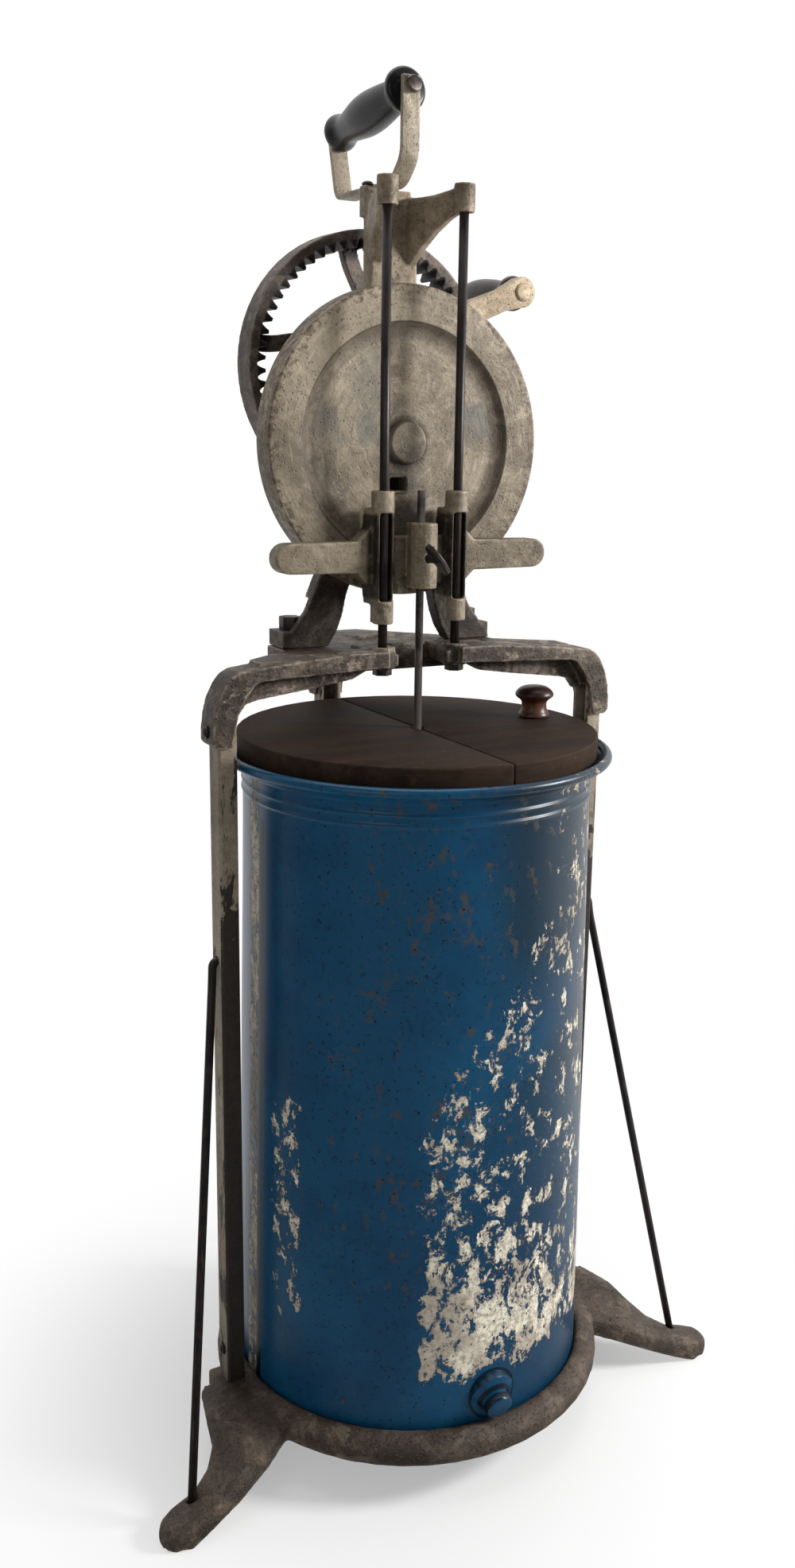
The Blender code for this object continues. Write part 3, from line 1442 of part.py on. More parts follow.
def make_ring_gear():
    """The internal ring gear on five curved spokes."""
    centre = (0, spindle_z())
    tip = pitch_radius(RING_TEETH) - MODULE * ADDENDUM_SHARE
    root = pitch_radius(RING_TEETH) + MODULE * DEDENDUM_SHARE
    ring = drum("ring_gear", (0, RING_FRONT_Y, centre[1]), (0, RING_REAR_Y, centre[1]), RING_OUT_R, sides=RING_TEETH)
    room = tooth_ring(RING_TEETH, centre, tip, root, TOOTH_SLACK)
    teeth = slab("ring_room", room, RING_FRONT_Y - OVERRUN, RING_REAR_Y + OVERRUN, "XZ")
    cut(ring, teeth)
    spoke_rear = RING_REAR_Y - RUN
    hub = drum("ring_hub", (0, SPOKE_FRONT_Y - RUN, centre[1]), (0, RING_REAR_Y, centre[1]), RING_HUB_R)
    spokes = []
    for at in range(SPOKE_COUNT):
        turn = SPOKE_TURN + math.tau * at / SPOKE_COUNT
        spokes.append(slab("spoke", spoke_outline(centre, turn), SPOKE_FRONT_Y, spoke_rear, "XZ"))
    join(ring, hub, *spokes)
    bore = drum(
        "ring_bore", (0, SPOKE_FRONT_Y - OVERRUN, centre[1]), (0, RING_REAR_Y + OVERRUN, centre[1]), SPINDLE_R + RUN
    )
    return cut(ring, bore)


def make_pinion():
    """The pinion on the flywheel's shaft."""
    centre = (0, AXLE_Z)
    tip = pitch_radius(PINION_TEETH) + MODULE * ADDENDUM_SHARE
    root = pitch_radius(PINION_TEETH) - MODULE * DEDENDUM_SHARE
    teeth = tooth_ring(PINION_TEETH, centre, root, tip, -TOOTH_SLACK)
    pinion = slab("pinion", teeth, PINION_FRONT_Y, PINION_REAR_Y, "XZ")
    bore = drum(
        "pinion_bore", (0, PINION_FRONT_Y - OVERRUN, AXLE_Z), (0, PINION_REAR_Y + OVERRUN, AXLE_Z), AXLE_R + RUN
    )
    return cut(pinion, bore)


def crank_point(y):
    """A point on the crank grip's axis."""
    return Vector((CRANK_R * math.cos(CRANK_TURN), y, spindle_z() + CRANK_R * math.sin(CRANK_TURN)))


def make_crank():
    """The crank arm, its spindle, the grip's pin and the grip."""
    centre_z = spindle_z()
    rear = CRANK_FRONT_Y + CRANK_THICK
    hub_side = math.radians(80)
    local = arc((0, 0), CRANK_HUB_R, hub_side, math.tau - hub_side, 12)
    local += arc((CRANK_R, 0), CRANK_EYE_R, -math.pi * 0.62, math.pi * 0.62, 12)
    waist = CRANK_EYE_R * 0.72
    local.insert(13, (CRANK_R - CRANK_EYE_R * 1.6, -waist))
    local.append((CRANK_R - CRANK_EYE_R * 1.6, waist))
    turn = Matrix.Rotation(CRANK_TURN, 2)
    outline = [Vector((0, centre_z)) + turn @ Vector(point) for point in local]
    arm = slab("crank_arm", outline, CRANK_FRONT_Y, rear, "XZ")
    boss_front = RING_REAR_Y + RUN * 2
    boss_rear = CRANK_FRONT_Y + CRANK_THICK / 2
    join(arm, drum("crank_boss", (0, boss_front, centre_z), (0, boss_rear, centre_z), CRANK_BOSS_R))
    eye = crank_point(CRANK_FRONT_Y)
    cut(
        arm,
        drum("spindle_hole", (0, boss_front - OVERRUN, centre_z), (0, rear + OVERRUN, centre_z), SPINDLE_R + RUN),
        drum("grip_pin_hole", eye + FRONT * OVERRUN, eye + REAR * (CRANK_THICK + OVERRUN), GRIP_PIN_R + RUN),
    )
    drum("crank_spindle", (0, SPINDLE_FRONT_Y, centre_z), (0, rear + RUN * 3, centre_z), SPINDLE_R)
    grip_start = CRANK_THICK + RUN
    grip_end = grip_start + CRANK_GRIP_LENGTH
    place = facing(eye, REAR)
    turned(
        "grip_pin",
        [
            (0, grip_end + GRIP_PIN_HEAD_H),
            (GRIP_PIN_HEAD_R * 0.7, grip_end + GRIP_PIN_HEAD_H),
            (GRIP_PIN_HEAD_R, grip_end + RUN),
            (GRIP_PIN_R, grip_end + RUN),
            (GRIP_PIN_R, -RUN),
            (GRIP_PIN_HEAD_R, -RUN),
            (GRIP_PIN_HEAD_R * 0.8, -GRIP_PIN_HEAD_H / 2),
            (0, -GRIP_PIN_HEAD_H / 2),
        ],
        place,
    )
    profile = grip_profile(
        grip_start,
        CRANK_GRIP_LENGTH,
        CRANK_FLANGE_R,
        HANDLE_WAIST_R,
        CRANK_GRIP_R,
        GRIP_PIN_R + RUN,
    )
    turned("crank_grip", profile, place, closed=True)


# The crosshead and what it carries


def make_crosshead():
    """The crosshead: a slotted yoke with two collared posts on the guide rods and a clamp for the dasher's rod."""
    reach = WING_REACH - (WING_TOP_Z - WING_LOW_Z) / 2
    middle = (WING_TOP_Z + WING_LOW_Z) / 2
    tip = (WING_TOP_Z - WING_LOW_Z) / 2 - WING_TAPER
    flare = ROD_X + COLLAR_R * 2.4
    quarter = math.pi / 2
    right = [
        (ROD_X + COLLAR_R * 0.9, UP_COLLAR_LOW_Z + OVERRUN),
        (ROD_X + COLLAR_R * 1.15, WING_TOP_Z + COLLAR_R * 1.2),
        (flare, WING_TOP_Z),
    ]
    right += arc((reach, middle), tip, quarter, -quarter, 10)
    right += [
        (flare, WING_LOW_Z),
        (ROD_X + COLLAR_R * 1.15, WING_LOW_Z - COLLAR_R * 1.2),
        (ROD_X + COLLAR_R * 0.9, DOWN_COLLAR_TOP_Z - OVERRUN),
        (ROD_X - COLLAR_R * 0.9, DOWN_COLLAR_TOP_Z - OVERRUN),
        (ROD_X - COLLAR_R * 1.1, ROD_WEB_LOW_Z - COLLAR_R),
        (CLAMP_R, ROD_WEB_LOW_Z),
    ]
    top_half = [
        (CLAMP_R, ROD_WEB_TOP_Z),
        (ROD_X - COLLAR_R * 1.2, ROD_WEB_TOP_Z),
        (ROD_X - COLLAR_R * 0.9, UP_COLLAR_LOW_Z + OVERRUN),
    ]
    half = top_half + right
    outline = half + [(-x, z) for x, z in reversed(half)]
    cross = slab("crosshead", outline, WING_FRONT_Y, WING_REAR_Y, "XZ")
    parts = []
    for side in (-1, 1):
        x = side * ROD_X
        parts.append(
            block(
                "post",
                (x - COLLAR_R * 0.86, -COLLAR_R * 0.5, DOWN_COLLAR_TOP_Z - OVERRUN * 0.6),
                (x + COLLAR_R * 0.86, WING_FRONT_Y + OVERRUN * 0.8, UP_COLLAR_LOW_Z + OVERRUN * 0.6),
            )
        )
        for low, high in ((UP_COLLAR_LOW_Z, UP_COLLAR_TOP_Z), (DOWN_COLLAR_LOW_Z, DOWN_COLLAR_TOP_Z)):
            parts.append(drum("collar", (x, 0, low), (x, 0, high), COLLAR_R))
            parts.append(
                block(
                    "collar_back",
                    (x - COLLAR_R * 0.78, -OVERRUN * 0.1, low + RUN),
                    (x + COLLAR_R * 0.78, WING_FRONT_Y + OVERRUN * 1.5, high - RUN),
                )
            )
    parts.append(
        block(
            "clamp_web",
            (-CLAMP_R * 0.9, CLAMP_FRONT_Y + CLAMP_R, CLAMP_LOW_Z + RUN),
            (CLAMP_R * 0.9, WING_FRONT_Y + OVERRUN, CLAMP_TOP_Z - RUN),
        )
    )
    clamp_y = CLAMP_FRONT_Y + CLAMP_R
    parts.append(drum("clamp", (0, clamp_y, CLAMP_LOW_Z), (0, clamp_y, CLAMP_TOP_Z), CLAMP_R))
    join(cross, *parts)
    slot = yoke_travel() + YOKE_BLOCK_HALF + RUN * 2
    tools = [
        block(
            "yoke_slot",
            (-slot, YOKE_SLOT_FRONT_Y, yoke_z() - YOKE_SLOT_HALF_HEIGHT),
            (slot, WING_REAR_Y + OVERRUN, yoke_z() + YOKE_SLOT_HALF_HEIGHT),
        ),
        drum(
            "dasher_rod_hole", (0, 0, CLAMP_LOW_Z - OVERRUN), (0, 0, CLAMP_TOP_Z + OVERRUN), DASHER_ROD_R + RUN
        ),
        drum("screw_hole", (0, CLAMP_FRONT_Y - OVERRUN, SCREW_Z), (0, 0, SCREW_Z), SCREW_R + RUN, sides=ROUND_STEPS),
    ]
    for side in (-1, 1):
        x = side * ROD_X
        low = (x, 0, DOWN_COLLAR_LOW_Z - OVERRUN)
        high = (x, 0, UP_COLLAR_TOP_Z + OVERRUN)
        tools.append(drum("rod_hole", low, high, ROD_R + RUN))
        tools.append(
            block(
                "trough",
                (x - TROUGH_R, -COLLAR_R - OVERRUN, DOWN_COLLAR_TOP_Z - RUN),
                (x + TROUGH_R, TROUGH_R * 0.95, UP_COLLAR_LOW_Z + RUN),
            )
        )
    return cut(cross, *tools)


def yoke_z():
    """The yoke block's height at rest: the crank pin stands at the bottom of its turn."""
    return AXLE_Z - CRANK_THROW


def yoke_travel():
    """The yoke block goes as far to each side as the crank pin does."""
    return CRANK_THROW


def make_yoke_block():
    """The block that slides in the yoke, with its eye for the crank pin."""
    half_height = YOKE_SLOT_HALF_HEIGHT - RUN
    shape = block(
        "yoke_block",
        (-YOKE_BLOCK_HALF, YOKE_SLOT_FRONT_Y + RUN, yoke_z() - half_height),
        (YOKE_BLOCK_HALF, WING_REAR_Y, yoke_z() + half_height),
    )
    hole = drum(
        "yoke_eye",
        (0, YOKE_SLOT_FRONT_Y + OVERRUN, yoke_z()),
        (0, WING_REAR_Y + OVERRUN, yoke_z()),
        YOKE_PIN_HOLE_R,
        sides=ROUND_STEPS,
    )
    return cut(shape, hole)


def make_thumb_screw():
    """The thumb screw that grips the dasher's rod: a threaded shank with a flat oval thumb piece."""
    tip_y = -DASHER_ROD_R - RUN
    shank = drum("thumb_screw", (0, THUMB_CENTRE_Y, SCREW_Z), (0, tip_y, SCREW_Z), SCREW_R, sides=ROUND_STEPS)
    oval = []
    for at in range(ROUND_STEPS):
        angle = math.tau * at / ROUND_STEPS
        oval.append((THUMB_REACH * math.cos(angle), THUMB_WIDTH / 2 * math.sin(angle)))
    thumb = slab("thumb", oval, -THUMB_THICK / 2, THUMB_THICK / 2)
    turn = Matrix.Rotation(-THUMB_TURN, 4, "Y")
    thumb.data.transform(Matrix.Translation((0, THUMB_CENTRE_Y, SCREW_Z)) @ turn)
    return join(shank, thumb)


def make_dasher():
    """The plunging dasher: a drilled wooden disc with a hub on a long iron rod."""
    low = DASHER_LOW_Z
    top = low + DASHER_THICK
    bore = DASHER_ROD_R + RUN
    dasher = turned(
        "dasher",
        [
            (bore, DASHER_HUB_TOP_Z),
            (DASHER_HUB_R * 0.7, DASHER_HUB_TOP_Z),
            (DASHER_HUB_R, top + DASHER_THICK / 3),
            (DASHER_HUB_R, top),
            (DASHER_R - DISC_EASE, top),
            (DASHER_R, top - DISC_EASE),
            (DASHER_R, low + DISC_EASE),
            (DASHER_R - DISC_EASE, low),
            (bore, low),
        ],
        steps=CAN_STEPS // 2,
        closed=True,
    )
    holes = []
    for at in range(DASHER_HOLES):
        angle = math.tau * (at + 1 / 6) / DASHER_HOLES
        start = spot(DASHER_HOLE_RING_R, angle, low - OVERRUN)
        end = spot(DASHER_HOLE_RING_R, angle, top + OVERRUN)
        holes.append(drum("dasher_hole", start, end, DASHER_HOLE_R, sides=SMALL_STEPS))
    cut(dasher, *holes)
    nut_top = low - RUN
    rod = turned(
        "dasher_rod",
        [
            (0, DASHER_ROD_TOP_Z),
            (DASHER_ROD_R, DASHER_ROD_TOP_Z),
            (DASHER_ROD_R, nut_top),
            (DASHER_ROD_R * 2.4, nut_top),
            (DASHER_ROD_R * 2.4, nut_top - DASHER_ROD_R * 1.6),
            (0, nut_top - DASHER_ROD_R * 1.6),
        ],
        steps=ROUND_STEPS,
    )
    return dasher, rod


# Building it all

IRON_GREY = (0.20, 0.18, 0.15)
IRON_BROWN = (0.09, 0.07, 0.055)
STEEL_DARK = (0.10, 0.09, 0.085)
CAN_BLUE = (0.01, 0.08, 0.20)
LID_BROWN = (0.045, 0.03, 0.025)
KNOB_BROWN = (0.13, 0.05, 0.02)
GRIP_BLACK = (0.012, 0.012, 0.013)
DASHER_WOOD = (0.32, 0.22, 0.13)
FINISHES = {
    # colour, roughness, metallic value and the nodes whose names start with these words
    "base_iron": (IRON_BROWN, 0.75, 0.4, ("base_casting",)),
    "frame_iron": (IRON_GREY, 0.6, 0.6, ("upright", "top_bridge", "head_frame", "crosshead", "yoke_block")),
    "wheel_iron": (IRON_GREY, 0.55, 0.6, ("flywheel_disc", "crank_arm", "handle_strap")),
    "gear_iron": (IRON_BROWN, 0.65, 0.5, ("ring_gear", "pinion")),
    "dark_steel": (STEEL_DARK, 0.45, 0.8, ("guide_rod", "brace", "dasher_rod", "thumb_screw", "flywheel_shaft")),
    "fastener_steel": (STEEL_DARK, 0.5, 0.8, ("rivet", "frame_", "rod_nut", "handle_bolt", "strap_screw")),
    "shaft_steel": (STEEL_DARK, 0.4, 0.8, ("crank_spindle", "crank_pin", "grip_pin", "handle_rod")),
    "blue_paint": (CAN_BLUE, 0.4, 0.1, ("can", "drain")),
    "lid_wood": (LID_BROWN, 0.7, 0.0, ("lid_left", "lid_right")),
    "knob_wood": (KNOB_BROWN, 0.6, 0.0, ("lid_knob",)),
    "black_wood": (GRIP_BLACK, 0.35, 0.0, ("top_grip", "crank_grip")),
    "dasher_wood": (DASHER_WOOD, 0.7, 0.0, ("dasher",)),
}


def finish_of(name):
    """The finish whose longest opening words match a node's name."""
    best = ""
    chosen = ""
    for finish, (*_, starts) in FINISHES.items():
        for start in starts:
            if name.startswith(start) and len(start) > len(best):
                best = start
                chosen = finish
    return chosen


def dress():
    """Give every node a material of its own, and smooth its round faces."""
    for obj in PIECES.objects:
        if obj.type != "MESH":
            continue
        colour, roughness, metallic, _ = FINISHES[finish_of(obj.name)]
        obj.data.materials.clear()
        obj.data.materials.append(material(obj.name, colour, roughness, metallic))
        obj.data.shade_smooth()
        obj.data.set_sharp_from_angle(angle=SHARP_ANGLE)


def build():
    """Model every piece, then hang the moving ones on their joints' axes."""
    make_can()
    spout, drain_cap = make_drain()
    lid_left = half_lid("lid_left", -1)
    lid_right = half_lid("lid_right", 1)
    knob = make_knob()
    make_base()
    make_uprights()
    make_rivets()
    ring_of_three(make_brace)
    make_bridge()
    make_head()
    make_fasteners()
    grip, rod = make_handle()
    disc = make_disc()
    pin = make_crank_pin()
    shaft = drum(
        "flywheel_shaft",
        (0, DISC_HUB_FRONT_Y + DISC_EASE, AXLE_Z),
        (0, PINION_REAR_Y + RUN * 2, AXLE_Z),
        AXLE_R,
    )
    ring = make_ring_gear()
    pinion = make_pinion()
    make_crank()
    cross = make_crosshead()
    yoke = make_yoke_block()
    thumb = make_thumb_screw()
    dasher, dasher_rod = make_dasher()

    named = bpy.data.objects
    carry(pivot("drain_axis", drain_point(0)), drain_cap)
    carry(pivot("lid_left_lift", (-LID_R / 2, 0, LID_TOP_Z)), lid_left)
    carry(pivot("lid_right_lift", (KNOB_X, 0, LID_TOP_Z)), lid_right, knob)
    carry(pivot("handle_axis", handle_axis()[0]), grip)
    carry(pivot("flywheel_axis", (0, 0, AXLE_Z)), disc, pin, shaft, pinion)
    crank_axis = pivot("crank_axis", (0, 0, spindle_z()))
    carry(crank_axis, ring, named["crank_spindle"], named["crank_arm"], named["grip_pin"])
    carry(pivot("crank_grip_axis", crank_point(CRANK_FRONT_Y), crank_axis), named["crank_grip"])
    cross_axis = pivot("crosshead_axis", (0, 0, yoke_z()))
    carry(cross_axis, cross)
    carry(pivot("yoke_axis", (0, 0, yoke_z()), cross_axis), yoke)
    carry(pivot("screw_axis", (0, 0, SCREW_Z), cross_axis), thumb)
    carry(pivot("dasher_axis", (0, 0, DASHER_ROD_TOP_Z), cross_axis), dasher, dasher_rod)
    dress()

    middle = pivot("churn_middle", (0, 0, 0))
    carry(middle, *[obj for obj in named if obj.parent is None and obj is not middle])
    grip_end = CRANK_FRONT_Y + CRANK_THICK + RUN + CRANK_GRIP_LENGTH + GRIP_PIN_HEAD_H
    middle.location.y = (COLLAR_OUT_R - grip_end) / 2


build()
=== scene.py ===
# %% [markdown]
# # A hand-cranked butter churn
# A tall blue can stands in a cast ring with three legs. Flat iron uprights rise from the ring to a
# bridge over the can, and on the bridge stands a head frame with a heavy iron disc, a large gear with
# teeth inside its rim, and a crosshead that the disc's pin lifts and drops.
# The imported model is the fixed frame: a new piece takes its place and size from it, or repeats one of
# its sizes as a named value.

# %% Load the fixed frame
import json
import math

import bmesh
import bpy
import numpy as np
from mathutils import Matrix, Vector

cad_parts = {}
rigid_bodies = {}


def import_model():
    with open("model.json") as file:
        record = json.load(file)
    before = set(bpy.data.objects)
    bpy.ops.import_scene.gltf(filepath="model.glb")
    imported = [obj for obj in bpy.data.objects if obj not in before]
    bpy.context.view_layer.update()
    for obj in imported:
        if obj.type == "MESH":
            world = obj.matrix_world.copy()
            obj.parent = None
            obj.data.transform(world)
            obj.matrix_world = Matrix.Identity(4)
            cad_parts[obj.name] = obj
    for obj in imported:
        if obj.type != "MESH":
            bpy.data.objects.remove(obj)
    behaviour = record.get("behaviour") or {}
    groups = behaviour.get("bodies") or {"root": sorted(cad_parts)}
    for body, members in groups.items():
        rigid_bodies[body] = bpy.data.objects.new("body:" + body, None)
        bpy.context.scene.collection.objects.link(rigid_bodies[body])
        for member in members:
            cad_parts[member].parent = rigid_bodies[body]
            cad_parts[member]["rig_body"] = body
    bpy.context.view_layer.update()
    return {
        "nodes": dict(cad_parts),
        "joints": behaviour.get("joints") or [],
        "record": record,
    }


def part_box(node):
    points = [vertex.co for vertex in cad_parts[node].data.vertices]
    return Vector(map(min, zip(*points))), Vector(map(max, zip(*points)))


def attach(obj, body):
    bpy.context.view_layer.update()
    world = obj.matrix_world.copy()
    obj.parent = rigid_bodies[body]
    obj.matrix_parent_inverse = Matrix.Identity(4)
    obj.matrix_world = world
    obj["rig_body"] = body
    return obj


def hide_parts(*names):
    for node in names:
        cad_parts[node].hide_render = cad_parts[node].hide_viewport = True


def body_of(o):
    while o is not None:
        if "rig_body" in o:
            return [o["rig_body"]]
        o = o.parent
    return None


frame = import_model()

NODES = frame["nodes"]
SLOTS = {row["node"]: row["material_slot"] for row in frame["record"]["subparts"]}
AXIS_Y = (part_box("can")[0][1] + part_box("can")[1][1]) / 2

# %% [markdown]
# ## The camera
# The photograph was taken from a little above the disc, about a metre away and to the left of the
# churn's front. The camera stands there, with the lens that makes the can, the disc and the legs fall
# on the same places as in the photograph.

# %% Place the camera
PHOTO_WIDTH, PHOTO_HEIGHT = 1000, 1973
FOCAL_PIXELS = 1825.1
LENS_CENTRE_PIXELS = 549.3
SENSOR = 24.0
VIEW_TURN, VIEW_DROP, VIEW_ROLL = (math.radians(angle) for angle in (30.20, 13.74, 1.194))
CAMERA_PLACE = Vector((-0.4961, AXIS_Y - 0.8813, 0.7319))

ahead_level = Vector((math.sin(VIEW_TURN), math.cos(VIEW_TURN), 0))
look = ahead_level * math.cos(VIEW_DROP) - Vector((0, 0, math.sin(VIEW_DROP)))
level = Vector((math.cos(VIEW_TURN), -math.sin(VIEW_TURN), 0))
upright = level.cross(look)
right = level * math.cos(VIEW_ROLL) + upright * math.sin(VIEW_ROLL)
top = upright * math.cos(VIEW_ROLL) - level * math.sin(VIEW_ROLL)
lens = bpy.data.cameras.new("photograph_view")
lens.sensor_fit = "VERTICAL"
lens.sensor_height = SENSOR
lens.lens = FOCAL_PIXELS / PHOTO_HEIGHT * SENSOR
lens.shift_x = -(LENS_CENTRE_PIXELS - PHOTO_WIDTH / 2) / PHOTO_HEIGHT
camera = bpy.data.objects.new("photograph_view", lens)
turn = Matrix((right, top, -look)).transposed()
camera.matrix_world = Matrix.Translation(CAMERA_PLACE) @ turn.to_4x4()
bpy.context.scene.collection.objects.link(camera)
bpy.context.scene.camera = camera
bpy.context.scene.view_settings.view_transform = "Standard"
print("lens", round(lens.lens, 2), "mm on a", SENSOR, "mm sensor")

# %% [markdown]
# ## Light and floor
# The churn stands on a white sweep. A soft lamp not far to its right gives the shading, and the white
# room fills the rest. The room is white behind the churn and dim in front of it, as a studio is where
# the camera stands, so that gloss shows dark paint with light edges and not a grey veil.

# %% Helpers for colour
def tone(code):
    """A colour written as six hex digits, turned from screen values to the linear ones that light uses."""
    screen = np.array([int(code[at : at + 2], 16) for at in (0, 2, 4)]) / 255
    linear = np.where(screen <= 0.04045, screen / 12.92, ((screen + 0.055) / 1.055) ** 2.4)
    return (*(float(value) for value in linear), 1.0)


# %% Light the room
ROOM_LIGHT = 0.29
DIM_FRONT = 0.07
world = bpy.data.worlds.new("white_room")
bpy.context.scene.world = world
world.use_nodes = True
links = world.node_tree.links


def room_node(kind, **settings):
    """One node of the room's light."""
    made = world.node_tree.nodes.new(kind)
    for key, value in settings.items():
        setattr(made, key, value)
    return made


fill, seen = world.node_tree.nodes["Background"], room_node("ShaderNodeBackground")
for light in (fill, seen):
    light.inputs["Color"].default_value = (1.0, 1.0, 1.0, 1.0)
fill.inputs["Strength"].default_value = ROOM_LIGHT
path = room_node("ShaderNodeLightPath")
glances = room_node("ShaderNodeMath", operation="MAXIMUM")
views = room_node("ShaderNodeMath", operation="MAXIMUM")
links.new(path.outputs["Is Glossy Ray"], glances.inputs[0])
links.new(path.outputs["Is Transmission Ray"], glances.inputs[1])
links.new(path.outputs["Is Camera Ray"], views.inputs[0])
links.new(glances.outputs[0], views.inputs[1])
ahead = room_node("ShaderNodeVectorMath", operation="DOT_PRODUCT")
ahead.inputs[1].default_value = (math.sin(VIEW_TURN), math.cos(VIEW_TURN), 0.25)
links.new(room_node("ShaderNodeTexCoord").outputs["Generated"], ahead.inputs[0])
fall = room_node("ShaderNodeMapRange", interpolation_type="SMOOTHSTEP")
for key, value in (("From Min", -0.30), ("From Max", 0.35), ("To Min", DIM_FRONT), ("To Max", 1.0)):
    fall.inputs[key].default_value = value
links.new(ahead.outputs["Value"], fall.inputs["Value"])
strength = room_node("ShaderNodeMath", operation="MAXIMUM")
links.new(path.outputs["Is Camera Ray"], strength.inputs[0])
links.new(fall.outputs["Result"], strength.inputs[1])
links.new(strength.outputs[0], seen.inputs["Strength"])
choose = room_node("ShaderNodeMixShader")
links.new(views.outputs[0], choose.inputs[0])
links.new(fill.outputs[0], choose.inputs[1])
links.new(seen.outputs[0], choose.inputs[2])
links.new(choose.outputs[0], world.node_tree.nodes["World Output"].inputs[0])

MIDDLE = Vector((0.0, AXIS_Y, 0.55))


def lamp(name, place, size, watts):
    """A square soft lamp that looks at the middle of the churn."""
    light = bpy.data.lights.new(name, "AREA")
    light.shape = "SQUARE"
    light.size = size
    light.energy = watts
    stand = bpy.data.objects.new(name, light)
    stand.location = place
    stand.rotation_euler = (MIDDLE - Vector(place)).to_track_quat("-Z", "Y").to_euler()
    bpy.context.scene.collection.objects.link(stand)
    return stand


lamp("window_right", (1.22, -0.88, 1.02), 0.40, 31.0)
lamp("reflector_left", (-1.9, -1.5, 1.2), 1.4, 7.0)
lamp("ceiling", (0.1, 0.3, 2.4), 1.4, 16.0)

# %% [markdown]
# ## Putting surfaces into meshes
# A lathe, a rolling mill and a bending jig all make shapes that one formula can give. So each turned
# or bent piece is a grid of points worked out at once, and one function turns any grid into a closed
# skin. Cast pieces come from the frame's own solids, whose skin is laid anew in small even cells and
# then worn down a little, as sand casting leaves it.

# %% From a grid of points to a skin
MERGE = 1e-6
SHARP_FROM = math.radians(35)


def tidy_skin(mesh, merge=MERGE, outward=True):
    """Joins points that meet, turns faces outward and shades the skin smoothly."""
    work = bmesh.new()
    work.from_mesh(mesh)
    bmesh.ops.remove_doubles(work, verts=work.verts, dist=merge)
    if outward:
        bmesh.ops.recalc_face_normals(work, faces=work.faces)
    work.to_mesh(mesh)
    work.free()
    mesh.shade_smooth()
    return mesh


def shown(name, mesh):
    """A mesh as an object of the scene, at the origin."""
    piece = bpy.data.objects.new(name, mesh)
    bpy.context.scene.collection.objects.link(piece)
    return piece


def skin(name, points):
    """A grid of points, rows by columns, as quads. Rows that shrink to a point become a pole, and a last
    row or column that repeats the first closes the seam."""
    rows, columns = points.shape[:2]
    at = np.arange(rows * columns).reshape(rows, columns)
    quads = np.stack([at[:-1, :-1], at[:-1, 1:], at[1:, 1:], at[1:, :-1]], axis=-1).reshape(-1, 4)
    mesh = bpy.data.meshes.new(name)
    mesh.from_pydata(points.reshape(-1, 3).tolist(), [], quads.tolist())
    tidy_skin(mesh)
    mesh.set_sharp_from_angle(angle=SHARP_FROM)
    return shown(name, mesh)


def eased(corners, ease, steps=5, closed=False):
    """A line with its corners rounded: each corner becomes a short arc of a parabola that starts and ends
    the distance ease from it, or halfway along a shorter side."""
    line = np.asarray(corners, float)
    reach = np.broadcast_to(np.asarray(ease, float), len(line))[:, None]
    before, after = np.roll(line, 1, axis=0) - line, np.roll(line, -1, axis=0) - line
    far_before = np.linalg.norm(before, axis=1, keepdims=True)
    far_after = np.linalg.norm(after, axis=1, keepdims=True)
    start = line + before / far_before * np.minimum(reach, far_before * 0.499)
    end = line + after / far_after * np.minimum(reach, far_after * 0.499)
    share = np.linspace(0, 1, steps)[None, :, None]
    arcs = (1 - share) ** 2 * start[:, None] + 2 * share * (1 - share) * line[:, None]
    arcs = arcs + share**2 * end[:, None]
    if closed:
        whole = arcs.reshape(-1, line.shape[1])
        return np.vstack([whole, whole[:1]])
    return np.vstack([line[:1], arcs[1:-1].reshape(-1, line.shape[1]), line[-1:]])


def across(along):
    """Two directions square to one direction and to each other."""
    along = np.asarray(along, float) / np.linalg.norm(along)
    helper = np.array([0.0, 0.0, 1.0]) if abs(along[2]) < 0.9 else np.array([1.0, 0.0, 0.0])
    first = np.cross(helper, along)
    first /= np.linalg.norm(first)
    return along, first, np.cross(along, first)


def turned(name, profile, start, along=(0, 0, 1), sides=96, shape=None):
    """A lathe: each row of the profile is a radius and a distance along the axis, carried round a full
    turn. shape, a function of the angle and the distance, scales the radius of a piece that isn't round."""
    along, first, second = across(along)
    angle = sides if np.ndim(sides) else np.linspace(0, math.tau, sides + 1)
    radius, reach = np.asarray(profile, float).T
    scale = np.ones((1, len(angle))) if shape is None else shape(angle[None, :], reach[:, None])
    radius = radius[:, None] * scale
    ring = np.cos(angle)[:, None] * first + np.sin(angle)[:, None] * second
    points = np.asarray(start, float) + reach[:, None, None] * along + radius[:, :, None] * ring[None]
    return skin(name, points)


def swept(name, path, section, side):
    """A closed hoop: a section of (across, out) distances carried along a flat path whose last point
    repeats its first. side is square to the path's plane."""
    ahead = np.roll(path, -1, axis=0) - np.roll(path, 1, axis=0)
    ahead[0] = ahead[-1] = path[1] - path[-2]
    ahead /= np.linalg.norm(ahead, axis=1, keepdims=True)
    side = np.asarray(side, float)
    out = np.cross(ahead, side)
    return skin(name, path[:, None] + section[None, :, :1] * side + section[None, :, 1:] * out[:, None])


# %% Pieces that start from the frame's own solids
def solid_copy(name, node):
    """A copy of a node's skin with its loose triangles joined."""
    mesh = NODES[node].data.copy()
    mesh.name = name
    return shown(name, tidy_skin(mesh, merge=2e-6, outward=False))


def settled(piece):
    """The piece with its modifiers made part of its mesh."""
    ready = bpy.data.meshes.new_from_object(piece.evaluated_get(bpy.context.evaluated_depsgraph_get()))
    piece.modifiers.clear()
    piece.data = ready
    piece.data.shade_smooth()
    return piece


